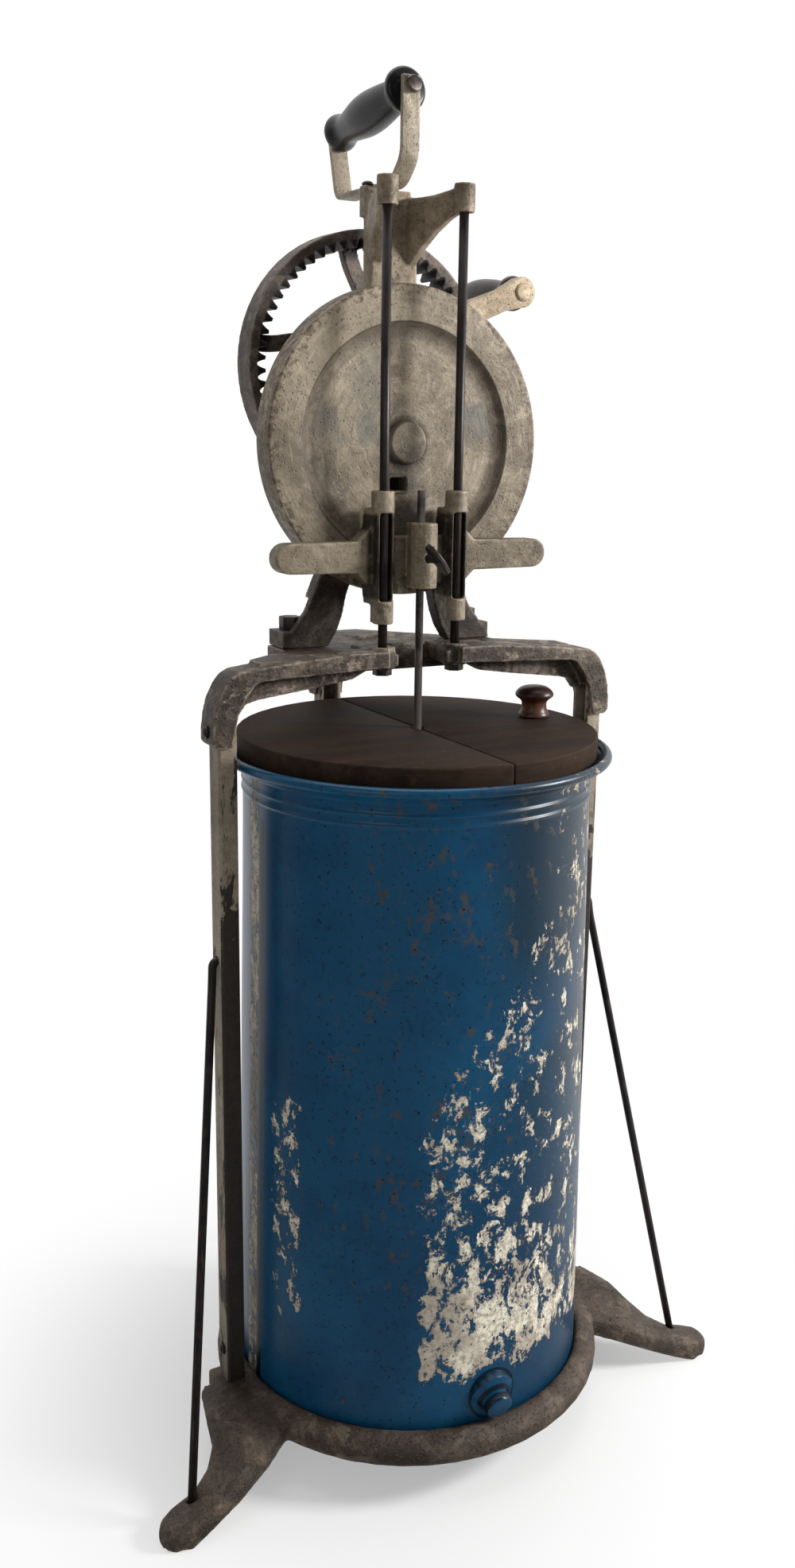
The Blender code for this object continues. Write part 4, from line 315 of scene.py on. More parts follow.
def cast(name, node, cell, passes):
    """A sand casting: the node's skin laid anew in cells of this size, with its corners worn down."""
    piece = solid_copy(name, node)
    cells = piece.modifiers.new("cells", "REMESH")
    cells.mode = "VOXEL"
    cells.voxel_size = cell
    cells.use_smooth_shade = True
    wear = piece.modifiers.new("wear", "SMOOTH")
    wear.factor = 0.5
    wear.iterations = passes
    settled(piece)
    print(name, len(piece.data.polygons), "cells")
    return piece


def eased_solid(name, node, width, steps=2, angle=30):
    """A rolled, sawn or machined piece: the node's solid, its flat faces made whole, its edges rounded."""
    piece = solid_copy(name, node)
    work = bmesh.new()
    work.from_mesh(piece.data)
    bmesh.ops.dissolve_limit(work, angle_limit=math.radians(0.5), verts=work.verts, edges=work.edges)
    work.to_mesh(piece.data)
    work.free()
    edge = piece.modifiers.new("edges", "BEVEL")
    edge.width = width
    edge.segments = steps
    edge.limit_method = "ANGLE"
    edge.angle_limit = math.radians(angle)
    edge.harden_normals = True
    piece.data.shade_smooth()
    return piece


def smooth_solid(name, node, angle=38):
    """A small round part: the node's solid, shaded smoothly up to this angle."""
    piece = solid_copy(name, node)
    piece.data.set_sharp_from_angle(angle=math.radians(angle))
    return piece


# %% [markdown]
# ## Mixing finishes
# Old iron, paint and wood are never one colour. Each finish is mixed from a few layers: broad clouds,
# smaller patches and specks, a lighter tone where hands and cloths have rubbed the edges, and dark
# corners that are partly dirt and partly painted shade. The helper below adds a node or a few per call,
# so that a finish reads like a recipe.

# %% A small kit for finishes
class Finish:
    """A material that is being mixed. A call adds one node or a few and gives back what comes out of
    them. Colours are written as six hex digits."""

    def __init__(self, name):
        self.material = bpy.data.materials.new(name)
        self.material.use_nodes = True
        self.tree = self.material.node_tree
        self.shader = self.tree.nodes["Principled BSDF"]
        self.places = self.node("ShaderNodeTexCoord").outputs["Object"]
        self.surface = self.node("ShaderNodeNewGeometry")
        self.facing = self.surface.outputs["Normal"]

    def node(self, kind, **settings):
        """One node of the material, with its settings."""
        made = self.tree.nodes.new(kind)
        for key, value in settings.items():
            setattr(made, key, value)
        return made

    def put(self, socket, value):
        """Links a socket to an output, or sets a plain value on it."""
        if isinstance(value, bpy.types.NodeSocket):
            self.tree.links.new(value, socket)
        else:
            socket.default_value = tone(value) if isinstance(value, str) else value

    def fill(self, made, **values):
        """Puts a value on each named socket of a node and gives the node back."""
        for key, value in values.items():
            self.put(made.inputs[key.replace("_", " ")], value)
        return made

    def sum(self, first, second, kind="ADD"):
        """first and second added, or joined by another kind of sum."""
        made = self.node("ShaderNodeMath", operation=kind)
        self.put(made.inputs[0], first)
        self.put(made.inputs[1], second)
        return made.outputs[0]

    def times(self, *shares):
        """All the shares multiplied."""
        result = shares[0]
        for share in shares[1:]:
            result = self.sum(result, share, "MULTIPLY")
        return result

    def band(self, value, low, high, least=0.0, most=1.0):
        """least up to low, most from high and a soft rise between, or the other way round where low is
        the higher."""
        made = self.node("ShaderNodeMapRange", interpolation_type="SMOOTHSTEP")
        ends = (least, most) if low < high else (most, least)
        self.fill(made, Value=value, From_Min=min(low, high), From_Max=max(low, high))
        return self.fill(made, To_Min=ends[0], To_Max=ends[1]).outputs["Result"]

    def between(self, value, low, full_from, full_to, high):
        """0 below low and above high, 1 from full_from to full_to, and a soft slope on each side."""
        return self.times(self.band(value, low, full_from), self.band(value, high, full_to))

    def vector(self, kind, first, second=None, out="Vector"):
        """One step of vector arithmetic."""
        made = self.node("ShaderNodeVectorMath", operation=kind)
        self.put(made.inputs[0], first)
        if second is not None:
            self.put(made.inputs[1], second)
        return made.outputs[out]

    def placed(self, stretch=(1, 1, 1), centre=(0, 0, 0)):
        """Object coordinates, stretched and moved."""
        made = self.node("ShaderNodeMapping")
        return self.fill(made, Vector=self.places, Location=centre, Scale=stretch).outputs[0]

    def noise(self, scale, detail=4.0, roughness=0.6, warp=0.0, vector=None, **where):
        """Cloudy noise of this many patches to the metre, pushed out of shape by warp."""
        made = self.node("ShaderNodeTexNoise")
        self.fill(made, Vector=vector or (self.placed(**where) if where else self.places))
        return self.fill(made, Scale=scale, Detail=detail, Roughness=roughness, Distortion=warp).outputs[0]

    def pits(self, scale, size):
        """1 inside small round dots, 0 between them."""
        made = self.fill(self.node("ShaderNodeTexVoronoi"), Vector=self.places, Scale=scale)
        return self.band(made.outputs["Distance"], size, size * 0.4)

    def mix(self, share, first, second):
        """first where share is 0 and second where it is 1."""
        made = self.node("ShaderNodeMix", data_type="RGBA")
        self.put(made.inputs[0], share)
        self.put(made.inputs[6], first)
        self.put(made.inputs[7], second)
        return made.outputs[2]

    def edge(self, radius):
        """1 on edges and 0 on flats: where a rounded normal leaves the true one."""
        soft = self.fill(self.node("ShaderNodeBevel", samples=4), Radius=radius)
        return self.band(self.vector("DOT_PRODUCT", soft.outputs[0], self.facing, "Value"), 0.997, 0.93)

    def crest(self):
        """1 on outward curves of a finely divided skin, 0 on flats and in hollows."""
        return self.band(self.surface.outputs["Pointiness"], 0.515, 0.58)

    def corner(self, reach):
        """1 deep in corners and 0 on open faces."""
        made = self.fill(self.node("ShaderNodeAmbientOcclusion", samples=6, only_local=True), Distance=reach)
        return self.band(made.outputs["AO"], 0.88, 0.30)

    def axis(self, direction, centre=(0, 0, 0)):
        """How far a point lies along a direction, in metres, from a centre."""
        return self.vector("DOT_PRODUCT", self.vector("SUBTRACT", self.places, centre), direction, "Value")

    def away(self, centre, keep=(1, 1, 1)):
        """How far a point lies from a centre, measured only along the kept axes."""
        reach = self.vector("SUBTRACT", self.places, centre)
        return self.vector("LENGTH", self.vector("MULTIPLY", reach, keep), out="Value")

    def off_axis(self, centre, direction):
        """How far a point lies from the line through a centre along a direction."""
        reach = self.vector("SUBTRACT", self.places, centre)
        along = self.vector("PROJECT", reach, direction)
        return self.vector("LENGTH", self.vector("SUBTRACT", reach, along), out="Value")

    def turned_to(self, direction):
        """1 where the face looks along a direction, 0 where it looks across it or away."""
        return self.band(self.vector("DOT_PRODUCT", self.facing, direction, "Value"), 0.25, 0.80)

    def done(self, colour, roughness, height=None, depth=0.0004, strength=0.5, **steady):
        """Colour, roughness and relief go to the shader; steady values are set on its sockets."""
        self.fill(self.shader, Base_Color=colour, Roughness=roughness)
        for key, value in steady.items():
            self.shader.inputs[key.replace("_", " ")].default_value = value
        if height is not None:
            relief = self.fill(self.node("ShaderNodeBump"), Strength=strength, Distance=depth, Height=height)
            self.put(self.shader.inputs["Normal"], relief.outputs[0])
        return self.material


# %% [markdown]
# ## Worn iron
# All the castings are the same stuff, aged in different ways: the base is nearly black-brown, the disc
# is rubbed pewter grey, the gear is brown with grease in its teeth. One recipe of layers gives them all
# the same kind of surface, grainy, pitted, blotchy and brighter on its edges, and each casting adds its
# own marks.

# %% The layers that the castings share
GRIME_AND_SHADE = "191412"


def iron_layers(iron, body, light, dark, rust, rub=0.7, dirt=0.85, patches=0.5, grit=0.5, bare=0.0):
    """Clouds of the dark tone and patches of the light one over the body, grit and pits, rust, rubbed
    edges, and dark corners that are partly dirt and partly painted shade. Gives colour, roughness and
    relief."""
    cloud = iron.noise(10.0, 5.0, 0.62, warp=0.5)
    patch = iron.noise(44.0, 8.0, 0.72, warp=0.7)
    fine = iron.noise(230.0, 6.0, 0.72)
    speck = iron.noise(760.0, 2.0, 0.6)
    pits = iron.times(iron.pits(330.0, 0.30), iron.band(patch, 0.62, 0.42))
    colour = iron.mix(iron.band(cloud, 0.66, 0.36, 0.0, 0.75), body, dark)
    colour = iron.mix(iron.times(iron.band(patch, 0.45, 0.66), patches), colour, light)
    colour = iron.mix(iron.times(iron.band(fine, 0.50, 0.66), grit), colour, dark)
    colour = iron.mix(iron.band(speck, 0.58, 0.74, 0.0, 0.4), colour, light)
    rusty = iron.band(iron.noise(85.0, 6.0, 0.75, centre=(3, 1, 2)), 0.56, 0.68, 0.0, 0.5)
    colour = iron.mix(rusty, colour, rust)
    colour = iron.mix(iron.times(pits, 0.7), colour, dark)
    ragged = iron.noise(30.0, 9.0, 0.75, warp=0.3, centre=(8, 2, 5))
    colour = iron.mix(iron.band(ragged, 0.555, 0.600, 0.0, bare), colour, light)
    rubbed = iron.band(iron.noise(120.0, 6.0, 0.7), 0.36, 0.60)
    worn = iron.times(iron.sum(iron.edge(0.0022), iron.crest(), "MAXIMUM"), rubbed, rub)
    colour = iron.mix(worn, colour, light)
    # painted shade, partly real dirt: corners and hollows darkened to near black
    colour = iron.mix(iron.times(iron.corner(0.012), dirt), colour, GRIME_AND_SHADE)
    rough = iron.sum(iron.times(fine, 0.35), iron.times(worn, -0.12))
    height = iron.sum(iron.times(patch, 0.7), iron.sum(iron.times(fine, 0.7), iron.times(speck, 0.3)))
    return colour, rough, iron.sum(height, iron.times(pits, -0.5))


def iron_done(iron, colour, rough, height, dull, depth, metal=0.2, strength=0.7, shine=0.35):
    """The finished iron: dull is added to its roughness, depth is its relief in metres."""
    steady = {"Metallic": metal, "Specular_IOR_Level": shine}
    return iron.done(colour, iron.sum(rough, dull), height, depth=depth, strength=strength, **steady)


def worn_iron(name, *tones, metal=0.25, dull=0.40, depth=0.0008, **shares):
    """A plain casting: the shared layers and nothing more."""
    iron = Finish(name)
    return iron_done(iron, *iron_layers(iron, *tones, **shares), dull, depth, metal)


BASE_SHARES = {"patches": 0.35, "rub": 0.55, "bare": 0.35, "grit": 0.75}
BASE_SHARES.update(metal=0.1, dull=0.42, depth=0.0018)
FRAME_SHARES = {"patches": 0.35, "rub": 1.0, "bare": 0.60, "grit": 0.65}
FRAME_SHARES.update(metal=0.15, depth=0.0011)
FINISHES = {
    "base_iron": worn_iron("base_iron", "4c4037", "8c7c68", "2b231e", "5a3f2e", **BASE_SHARES),
    "frame_iron": worn_iron("frame_iron", "40372f", "a89886", "1f1815", "5a4030", **FRAME_SHARES),
    "wheel_iron": worn_iron("wheel_iron", "a29582", "bfb39e", "6a5f52", "7d6249", rub=0.6),
    "gear_iron": worn_iron("gear_iron", "60564e", "9a8a78", "2a2320", "65432e", dirt=0.95),
}
CRANK_IRON = worn_iron("crank_iron", "b8a68a", "d2c2a8", "6f5f4c", "8a6a4c", rub=0.4, grit=0.45)

# %% Marks of the crosshead and the head frame
UP = (0.0, 0.0, 1.0)
ACROSS = (1.0, 0.0, 0.0)
ROD_X = 0.0289
POST_LOW_Z, POST_HIGH_Z, POST_FADE = 0.6165, 0.6765, 0.003


def crosshead_iron():
    """Grey-tan wings and collars, nearly black in patches on the two posts beside the guide rods."""
    iron = Finish("crosshead_iron")
    layers = iron_layers(iron, "807460", "ab9e8a", "463c31", "6a523e", patches=0.45, bare=0.3)
    sides = iron.sum(iron.axis(ACROSS), 0.0, "ABSOLUTE")
    off_rod = iron.sum(iron.sum(sides, ROD_X, "SUBTRACT"), 0.0, "ABSOLUTE")
    ends = (POST_LOW_Z, POST_LOW_Z + POST_FADE, POST_HIGH_Z - POST_FADE, POST_HIGH_Z)
    tall = iron.between(iron.axis(UP), *ends)
    # the posts beside the guide rods go nearly black in patches
    patchy_black = iron.band(iron.noise(110.0, 6.0, 0.7), 0.28, 0.50, 0.45, 0.92)
    post = iron.times(iron.band(off_rod, 0.0125, 0.0085), tall, patchy_black)
    return iron_done(iron, iron.mix(post, layers[0], "211b18"), *layers[1:], 0.38, 0.0007)


def head_iron():
    """Black-brown low down behind the disc and lighter from the neck up: partly grease, and partly painted
    shade under the disc and crosshead with painted light on the neck.
    """
    iron = Finish("head_iron")
    rise = iron.sum(iron.axis(UP), iron.band(iron.noise(25.0), 0.3, 0.7, -0.02, 0.02))
    # painted shade low down under the disc and painted light on the neck, mixed with grease
    body = iron.mix(iron.band(rise, 0.63, 0.73), "352c26", "91826c")
    light = iron.mix(iron.band(rise, 0.62, 0.77), "75685a", "b3a28c")
    dark = iron.mix(iron.band(rise, 0.66, 0.80), "191412", "41382f")
    layers = iron_layers(iron, body, light, dark, "5c4535", rub=0.85, bare=0.35)
    return iron_done(iron, *layers, 0.38, 0.0007)


# %% Marks of the uprights, the ring gear and the disc
WHEEL_Z = 0.7226
GEAR_Z = 0.7731
ROUND_Y = (1.0, 0.0, 1.0)


def upright_iron():
    """Grey-tan bars with a black crust that covers the front face low down and thins out upwards in
    ragged runs."""
    iron = Finish("upright_iron")
    tones = ("8d8170", "aa9e8a", "544a3f", "6a4c38")
    colour, rough, height = iron_layers(iron, *tones, patches=0.35, rub=0.5, grit=0.3)
    ragged = iron.noise(75.0, 8.0, 0.72, warp=0.4, stretch=(1.0, 1.0, 0.30))
    low = iron.band(iron.axis(UP), 0.50, 0.33, 0.0, 0.30)
    crust = iron.sum(ragged, iron.times(iron.turned_to((0, -1, 0)), low))
    crust = iron.sum(crust, iron.times(iron.band(iron.axis(UP), 0.34, 0.12), 0.07))
    covered = iron.band(crust, 0.585, 0.625, 0.0, 0.94)
    colour = iron.mix(covered, colour, iron.mix(iron.noise(300.0), "151211", "37302d"))
    height = iron.sum(height, iron.times(covered, 0.8))
    return iron_done(iron, colour, rough, height, 0.42, 0.0006, metal=0.15, strength=0.6)


def ring_gear_iron():
    """Grey-brown outside and on the spokes, black with old grease between the teeth."""
    iron = Finish("ring_gear_iron")
    tones = ("645a52", "968778", "2d2622", "6b4a36")
    colour, rough, height = iron_layers(iron, *tones, rub=0.6, dirt=0.95)
    out = iron.away((0, 0, GEAR_Z), ROUND_Y)
    thick = iron.band(iron.noise(90.0), 0.15, 0.42, 0.6, 0.97)
    grease = iron.times(iron.between(out, 0.0725, 0.0775, 0.0862, 0.0885), thick)
    colour = iron.mix(grease, colour, iron.mix(iron.crest(), "15100e", "4b3c35"))
    rough = iron.sum(rough, iron.times(grease, -0.10))
    return iron_done(iron, colour, rough, height, 0.42, 0.0006, shine=0.4)


def disc_iron():
    """Pewter-tan face with lathe marks, rust-brown specks towards its rim, blue-grey clouds on the web and a
    darker trail from the hub to the slot. Round the inner lip, in the cove and round the hub it is dark with
    grime and with painted shade."""
    iron = Finish("disc_iron")
    tones = ("8e826f", "afa28b", "544a3e", "6e5540")
    colour, rough, height = iron_layers(iron, *tones, rub=0.5, patches=0.45, grit=0.38)
    out = iron.away((0, 0, WHEEL_Z), ROUND_Y)
    apart = iron.node("ShaderNodeSeparateXYZ")
    iron.put(apart.inputs[0], iron.placed(stretch=(0.10, 0.10, 0.10)))
    rings = iron.node("ShaderNodeCombineXYZ")
    for socket, value in zip(rings.inputs, (out, apart.outputs["X"], apart.outputs["Z"])):
        iron.put(socket, value)
    marks = iron.noise(420.0, 4.0, 0.65, vector=rings.outputs[0])
    colour = iron.mix(iron.band(marks, 0.54, 0.68, 0.0, 0.40), colour, "5f5448")
    colour = iron.mix(iron.band(marks, 0.44, 0.32, 0.0, 0.30), colour, "b8ac97")
    crumbs = iron.noise(190.0, 7.0, 0.75, centre=(5, 5, 5))
    outer = iron.sum(crumbs, iron.band(out, 0.092, 0.1045, 0.0, 0.13))
    colour = iron.mix(iron.band(outer, 0.60, 0.66, 0.0, 0.75), colour, "4a3a2e")
    clouds = iron.band(iron.noise(24.0, 5.0, 0.6, warp=0.6, centre=(2, 2, 2)), 0.50, 0.64)
    clouds = iron.times(clouds, iron.band(out, 0.072, 0.066))
    colour = iron.mix(iron.times(clouds, 0.55), colour, "565a58")
    # painted shade and grime: the cove darkened
    cove = iron.between(out, 0.0660, 0.0715, 0.0785, 0.0802)
    cove = iron.times(cove, iron.band(crumbs, 0.30, 0.55, 0.35, 0.9))
    colour = iron.mix(iron.times(cove, 0.62), colour, "3a2f28")
    # painted shade and grime: dark rings at the inner lip and round the foot of the hub
    lip = iron.between(out, 0.0788, 0.0796, 0.0801, 0.0810)
    hub = iron.between(out, 0.0142, 0.0150, 0.0158, 0.0205)
    colour = iron.mix(iron.times(iron.sum(lip, hub, "MAXIMUM"), 0.72), colour, "2a211c")
    below_hub = iron.away((-0.004, 0, WHEEL_Z - 0.030), (1, 0, 0.6))
    trail = iron.times(iron.band(below_hub, 0.022, 0.006), iron.band(crumbs, 0.36, 0.56))
    colour = iron.mix(iron.times(trail, 0.6), colour, "40362f")
    height = iron.sum(height, iron.times(marks, 0.5))
    return iron_done(iron, colour, rough, height, 0.36, 0.0006, metal=0.25, strength=0.6)


CROSSHEAD_IRON, HEAD_IRON, UPRIGHT_IRON = crosshead_iron(), head_iron(), upright_iron()
RING_GEAR_IRON, DISC_IRON = ring_gear_iron(), disc_iron()
print("irons mixed:", len(bpy.data.materials))

# %% [markdown]
# ## Steel rods and fasteners
# The rods and screws are darker and smoother than the castings, with fine wear along them.

# %% Mix the steels
def old_steel(name, body, light, dull, metal):
    """Dark handled steel: brown-black with faint long scratches and small bright specks."""
    steel = Finish(name)
    patch = steel.noise(60.0, 5.0, 0.65, warp=0.3)
    scratch = steel.noise(300.0, 3.0, 0.5, stretch=(1.0, 1.0, 0.12))
    colour = steel.mix(steel.band(patch, 0.40, 0.68), body, "1a1615")
    colour = steel.mix(steel.band(scratch, 0.55, 0.72, 0.0, 0.30), colour, light)
    colour = steel.mix(steel.times(steel.edge(0.0008), 0.5), colour, light)
    # painted shade: corners darkened to near black
    colour = steel.mix(steel.times(steel.corner(0.006), 0.7), colour, "15110f")
    rough = steel.times(scratch, 0.3)
    return iron_done(steel, colour, rough, steel.sum(patch, scratch), dull, 0.0002, metal, 0.4, 0.4)


FINISHES["dark_steel"] = old_steel("dark_steel", "2b2422", "5b5048", 0.28, 0.2)
FINISHES["fastener_steel"] = old_steel("fastener_steel", "362e2a", "7a6d5f", 0.33, 0.25)
ROD_STEEL = old_steel("rod_steel", "4b4541", "857b70", 0.28, 0.35)
BRIGHT_STEEL = old_steel("bright_steel", "6a6058", "a49686", 0.26, 0.45)

# %% [markdown]
# ## Blue paint, chipped to its primer
# The can is tinplate under a deep glossy blue. The paint has flaked to a cream primer on the right
# side, in a narrow run at the left, and along the folded seam; round every chip shows a thin taupe
# border where the primer is stained. The chips are placed by how far round and how high they lie.

# %% Where the paint has gone
CAN_R = 0.129
CAN_CENTRE = (0.0, AXIS_Y, 0.0)
VIEW_RIGHT = (math.cos(VIEW_TURN) / CAN_R, -math.sin(VIEW_TURN) / CAN_R, 0.0)
VIEW_FRONT = (-math.sin(VIEW_TURN) / CAN_R, -math.cos(VIEW_TURN) / CAN_R, 0.0)
SEAM_ANGLE = math.radians(180.2)
SEAM_PLACE = (CAN_R * math.cos(SEAM_ANGLE), CAN_R * math.sin(SEAM_ANGLE) + AXIS_Y, 0.0)
ALONG_ROUND = (-math.sin(SEAM_ANGLE), math.cos(SEAM_ANGLE), 0.0)
DRAIN_PLACE = (-0.0034, -0.1854, 0.0690)
DRAIN_AXIS = (-0.0246, -0.9394, -0.3420)


def chip_wear(paint, across_can, height, beside, on_left):
    """How far the paint has gone: in the low right of the front, where the worn part starts further left
    the lower it lies, in an upright run at the left and on the seam, but not on the drain. across_can goes
    from -1 at the left of the view to 1 at its right, beside is the way round from the seam in metres."""
    wide = paint.noise(13.0, 3.0, 0.5, centre=(4.0, 2.0, 1.0))
    front = paint.band(paint.axis(VIEW_FRONT, CAN_CENTRE), -0.30, 0.15)
    start = paint.band(height, 0.26, 0.44, -0.02, 0.64)
    right_side = paint.band(paint.sum(across_can, start, "SUBTRACT"), 0.0, 0.15)
    right_side = paint.times(right_side, paint.band(height, 0.066, 0.100), front)
    low = paint.band(height, 0.20, 0.13)
    left_run = paint.times(paint.between(across_can, -0.80, -0.71, -0.60, -0.52), front)
    left_run = paint.times(left_run, paint.between(height, 0.09, 0.14, 0.27, 0.31))
    seam = paint.times(paint.between(beside, -0.016, -0.008, 0.0035, 0.0055), on_left)
    wear = paint.sum(paint.times(right_side, 0.135), paint.times(left_run, 0.155))
    wear = paint.sum(wear, paint.times(right_side, low, 0.062))
    wear = paint.sum(wear, paint.times(seam, 0.205))
    wear = paint.sum(wear, paint.band(wide, 0.50, 0.72, 0.0, 0.045))
    wear = paint.sum(wear, paint.times(right_side, paint.band(wide, 0.45, 0.30, 0.0, 0.04)))
    return paint.times(wear, paint.band(paint.away(DRAIN_PLACE), 0.018, 0.026))


def greyed(paint, across_can, height):
    """Where the blue is dull and grey: in clouds on the right side and all over the top of it."""
    clouds = paint.band(paint.noise(7.0, 3.0, 0.5, centre=(1, 8, 3)), 0.42, 0.62)
    grey = paint.times(clouds, paint.band(across_can, 0.2, 0.7), paint.band(height, 0.20, 0.38, 0.35, 1.0))
    top_right = paint.times(paint.band(across_can, 0.30, 0.62), paint.band(height, 0.33, 0.42))
    return paint.sum(grey, top_right, "MAXIMUM")


def scuffs(paint, spots, across_can, height):
    """Small dark scuffs in the middle of the front, gathered in clouds and fewer at the back."""
    place = paint.times(paint.between(across_can, -0.75, -0.10, 0.55, 1.0), paint.band(height, 0.10, 0.22))
    clouds = paint.band(paint.noise(17.0, 4.0, 0.6, centre=(6, 2, 8)), 0.40, 0.58, 0.15, 1.0)
    to_front = paint.band(paint.axis(VIEW_FRONT, CAN_CENTRE), -0.30, 0.15, 0.35, 1.0)
    share = paint.sum(spots, paint.times(place, clouds, to_front, 0.090))
    return paint.band(share, 0.632, 0.655, 0.0, 0.72)


def drain_rings(paint):
    """Two dark rings round the drain's axis, where the spout and its flange meet the paint: partly dirt,
    partly painted shade.
    """
    off_spout = paint.off_axis(DRAIN_PLACE, DRAIN_AXIS)
    inner = paint.between(off_spout, 0.0094, 0.0100, 0.0122, 0.0132)
    outer = paint.between(off_spout, 0.0164, 0.0170, 0.0178, 0.0192)
    return paint.times(paint.sum(inner, outer), paint.band(paint.away(DRAIN_PLACE), 0.030, 0.026))


# %% Mix the blue paint
def blue_paint(name):
    """Deep blue gloss with chips. A chip opens where a ragged noise and the wear together pass a limit; a
    little below that limit the paint is only stained. A dark line beside the seam is dirt in the joint and
    painted shade; edges carry a painted turquoise highlight and corners painted shade."""
    paint = Finish(name)
    across_can = paint.axis(VIEW_RIGHT, CAN_CENTRE)
    height = paint.axis(UP)
    beside = paint.axis(ALONG_ROUND, SEAM_PLACE)
    on_left = paint.band(across_can, 0.0, -0.5)
    flakes = paint.noise(78.0, 10.0, 0.74, warp=0.35, stretch=(1.0, 1.0, 0.70))
    crumbs = paint.noise(260.0, 6.0, 0.72)
    spots = paint.noise(105.0, 8.0, 0.74, centre=(7, 7, 7), stretch=(1.0, 1.0, 0.75))
    field = paint.sum(paint.times(flakes, 0.78), paint.times(crumbs, 0.22))
    field = paint.sum(field, chip_wear(paint, across_can, height, beside, on_left))
    stained = paint.band(field, 0.672, 0.684)
    bare = paint.band(field, 0.690, 0.696)

    blue = paint.mix(paint.band(paint.noise(9.0, 4.0, 0.6), 0.38, 0.66), "064769", "04395a")
    blue = paint.mix(paint.band(crumbs, 0.55, 0.66, 0.0, 0.60), blue, "071a28")
    blue = paint.mix(paint.band(across_can, 0.15, 0.95, 0.0, 0.45), blue, "10222d")
    blue = paint.mix(paint.times(greyed(paint, across_can, height), 0.80), blue, "14242e")
    blue = paint.mix(scuffs(paint, spots, across_can, height), blue, paint.mix(crumbs, "1d1b1a", "5f564c"))
    primer = paint.mix(paint.band(crumbs, 0.44, 0.60), "d9d3c0", "a2988a")
    browned = paint.band(paint.noise(20.0, 4.0, 0.6, centre=(9, 1, 1)), 0.47, 0.60, 0.0, 0.65)
    primer = paint.mix(browned, primer, "877b6d")

    colour = paint.mix(paint.times(stained, 0.85), blue, "35312e")
    colour = paint.mix(bare, colour, primer)
    colour = paint.mix(paint.times(paint.pits(210.0, 0.21), paint.band(spots, 0.42, 0.52)), colour, "0f0d0c")
    # a dark line beside the seam: dirt in the joint and painted shade
    seam_dirt_and_shade = paint.times(paint.between(beside, 0.0048, 0.0056, 0.0100, 0.0116), on_left)
    colour = paint.mix(paint.times(seam_dirt_and_shade, paint.band(height, 0.476, 0.472)), colour, "030607")
    # painted highlight: pale turquoise on the rim bead and other edges
    colour = paint.mix(paint.times(paint.edge(0.0012), 0.35), colour, "4d8296")
    # painted shade: corners, such as under the rim, darkened to near black
    colour = paint.mix(paint.times(paint.corner(0.007), 0.85), colour, "0a1014")
    # painted shade with dirt: dark rings round the drain
    colour = paint.mix(paint.times(drain_rings(paint), 0.85), colour, "080e12")
    rough = paint.sum(paint.sum(0.27, paint.times(crumbs, 0.12)), paint.times(stained, 0.35))
    relief = paint.sum(paint.times(stained, -1.0), paint.times(paint.noise(26.0, 3.0, 0.5), 0.30))
    return paint.done(colour, rough, relief, depth=0.0003, strength=0.6, Specular_IOR_Level=0.34)


FINISHES["blue_paint"] = blue_paint("blue_paint")
print("paint nodes", len(FINISHES["blue_paint"].node_tree.nodes))

# %% [markdown]
# ## Wood and lacquer
# The lid is dark weathered board, the knob is turned from an orange-brown wood with a dark dome, the
# two grips are lacquer over turned wood, black on the carrying handle and worn to brown on the crank,
# and the dasher in the can is plain pale wood.

# %% Mix the woods
def grained(name, body, dark, light, stretch, dull, shine=0.3):
    """Wood: noise drawn out along the grain, with pores and a few worn places."""
    wood = Finish(name)
    grain = wood.noise(30.0, 8.0, 0.65, warp=0.8, stretch=stretch)
    pores = wood.noise(270.0, 5.0, 0.7, stretch=stretch)
    colour = wood.mix(wood.band(grain, 0.36, 0.62), dark, body)
    colour = wood.mix(wood.band(pores, 0.50, 0.66, 0.0, 0.55), colour, dark)
    colour = wood.mix(wood.band(wood.noise(150.0, 5.0, 0.7), 0.56, 0.72, 0.0, 0.35), colour, light)
    colour = wood.mix(wood.times(wood.edge(0.0018), 0.45), colour, light)
    # painted shade: corners darkened to near black
    colour = wood.mix(wood.times(wood.corner(0.008), 0.6), colour, "120d0b")
    rough = wood.sum(wood.times(grain, 0.25), dull)
    relief = wood.sum(grain, pores)
    return wood.done(colour, rough, relief, depth=0.0003, strength=0.6, Specular_IOR_Level=shine)


FINISHES["lid_wood"] = grained("lid_wood", "35281f", "231a16", "574435", (0.14, 1.0, 1.0), 0.60, shine=0.08)
FINISHES["dasher_wood"] = grained("dasher_wood", "a58a66", "7d6445", "b89c78", (0.12, 1.0, 1.0), 0.53)


ALONG_GRIP = (1.0, 0.25, 1.0)


def lacquer(name, body, worn):
    """Dark lacquer with dull rubbed places and fine scratches."""
    black = Finish(name)
    rubbed = black.noise(38.0, 5.0, 0.6, stretch=ALONG_GRIP)
    scratch = black.noise(240.0, 4.0, 0.6, stretch=ALONG_GRIP)
    colour = black.mix(black.band(rubbed, 0.50, 0.72, 0.0, 0.6), body, worn)
    colour = black.mix(black.band(scratch, 0.60, 0.72, 0.0, 0.35), colour, "58504b")
    colour = black.mix(black.times(black.edge(0.0012), 0.4), colour, "4a4340")
    rough = black.sum(black.times(rubbed, 0.28), 0.16)
    relief = black.sum(rubbed, scratch)
    return black.done(colour, rough, relief, depth=0.00018, strength=0.4, Specular_IOR_Level=0.35)


FINISHES["black_wood"] = lacquer("black_wood", "0c0b0e", "191718")
CRANK_LACQUER = lacquer("crank_lacquer", "352a29", "4b3e3b")
print("finishes:", ", ".join(sorted(FINISHES)))


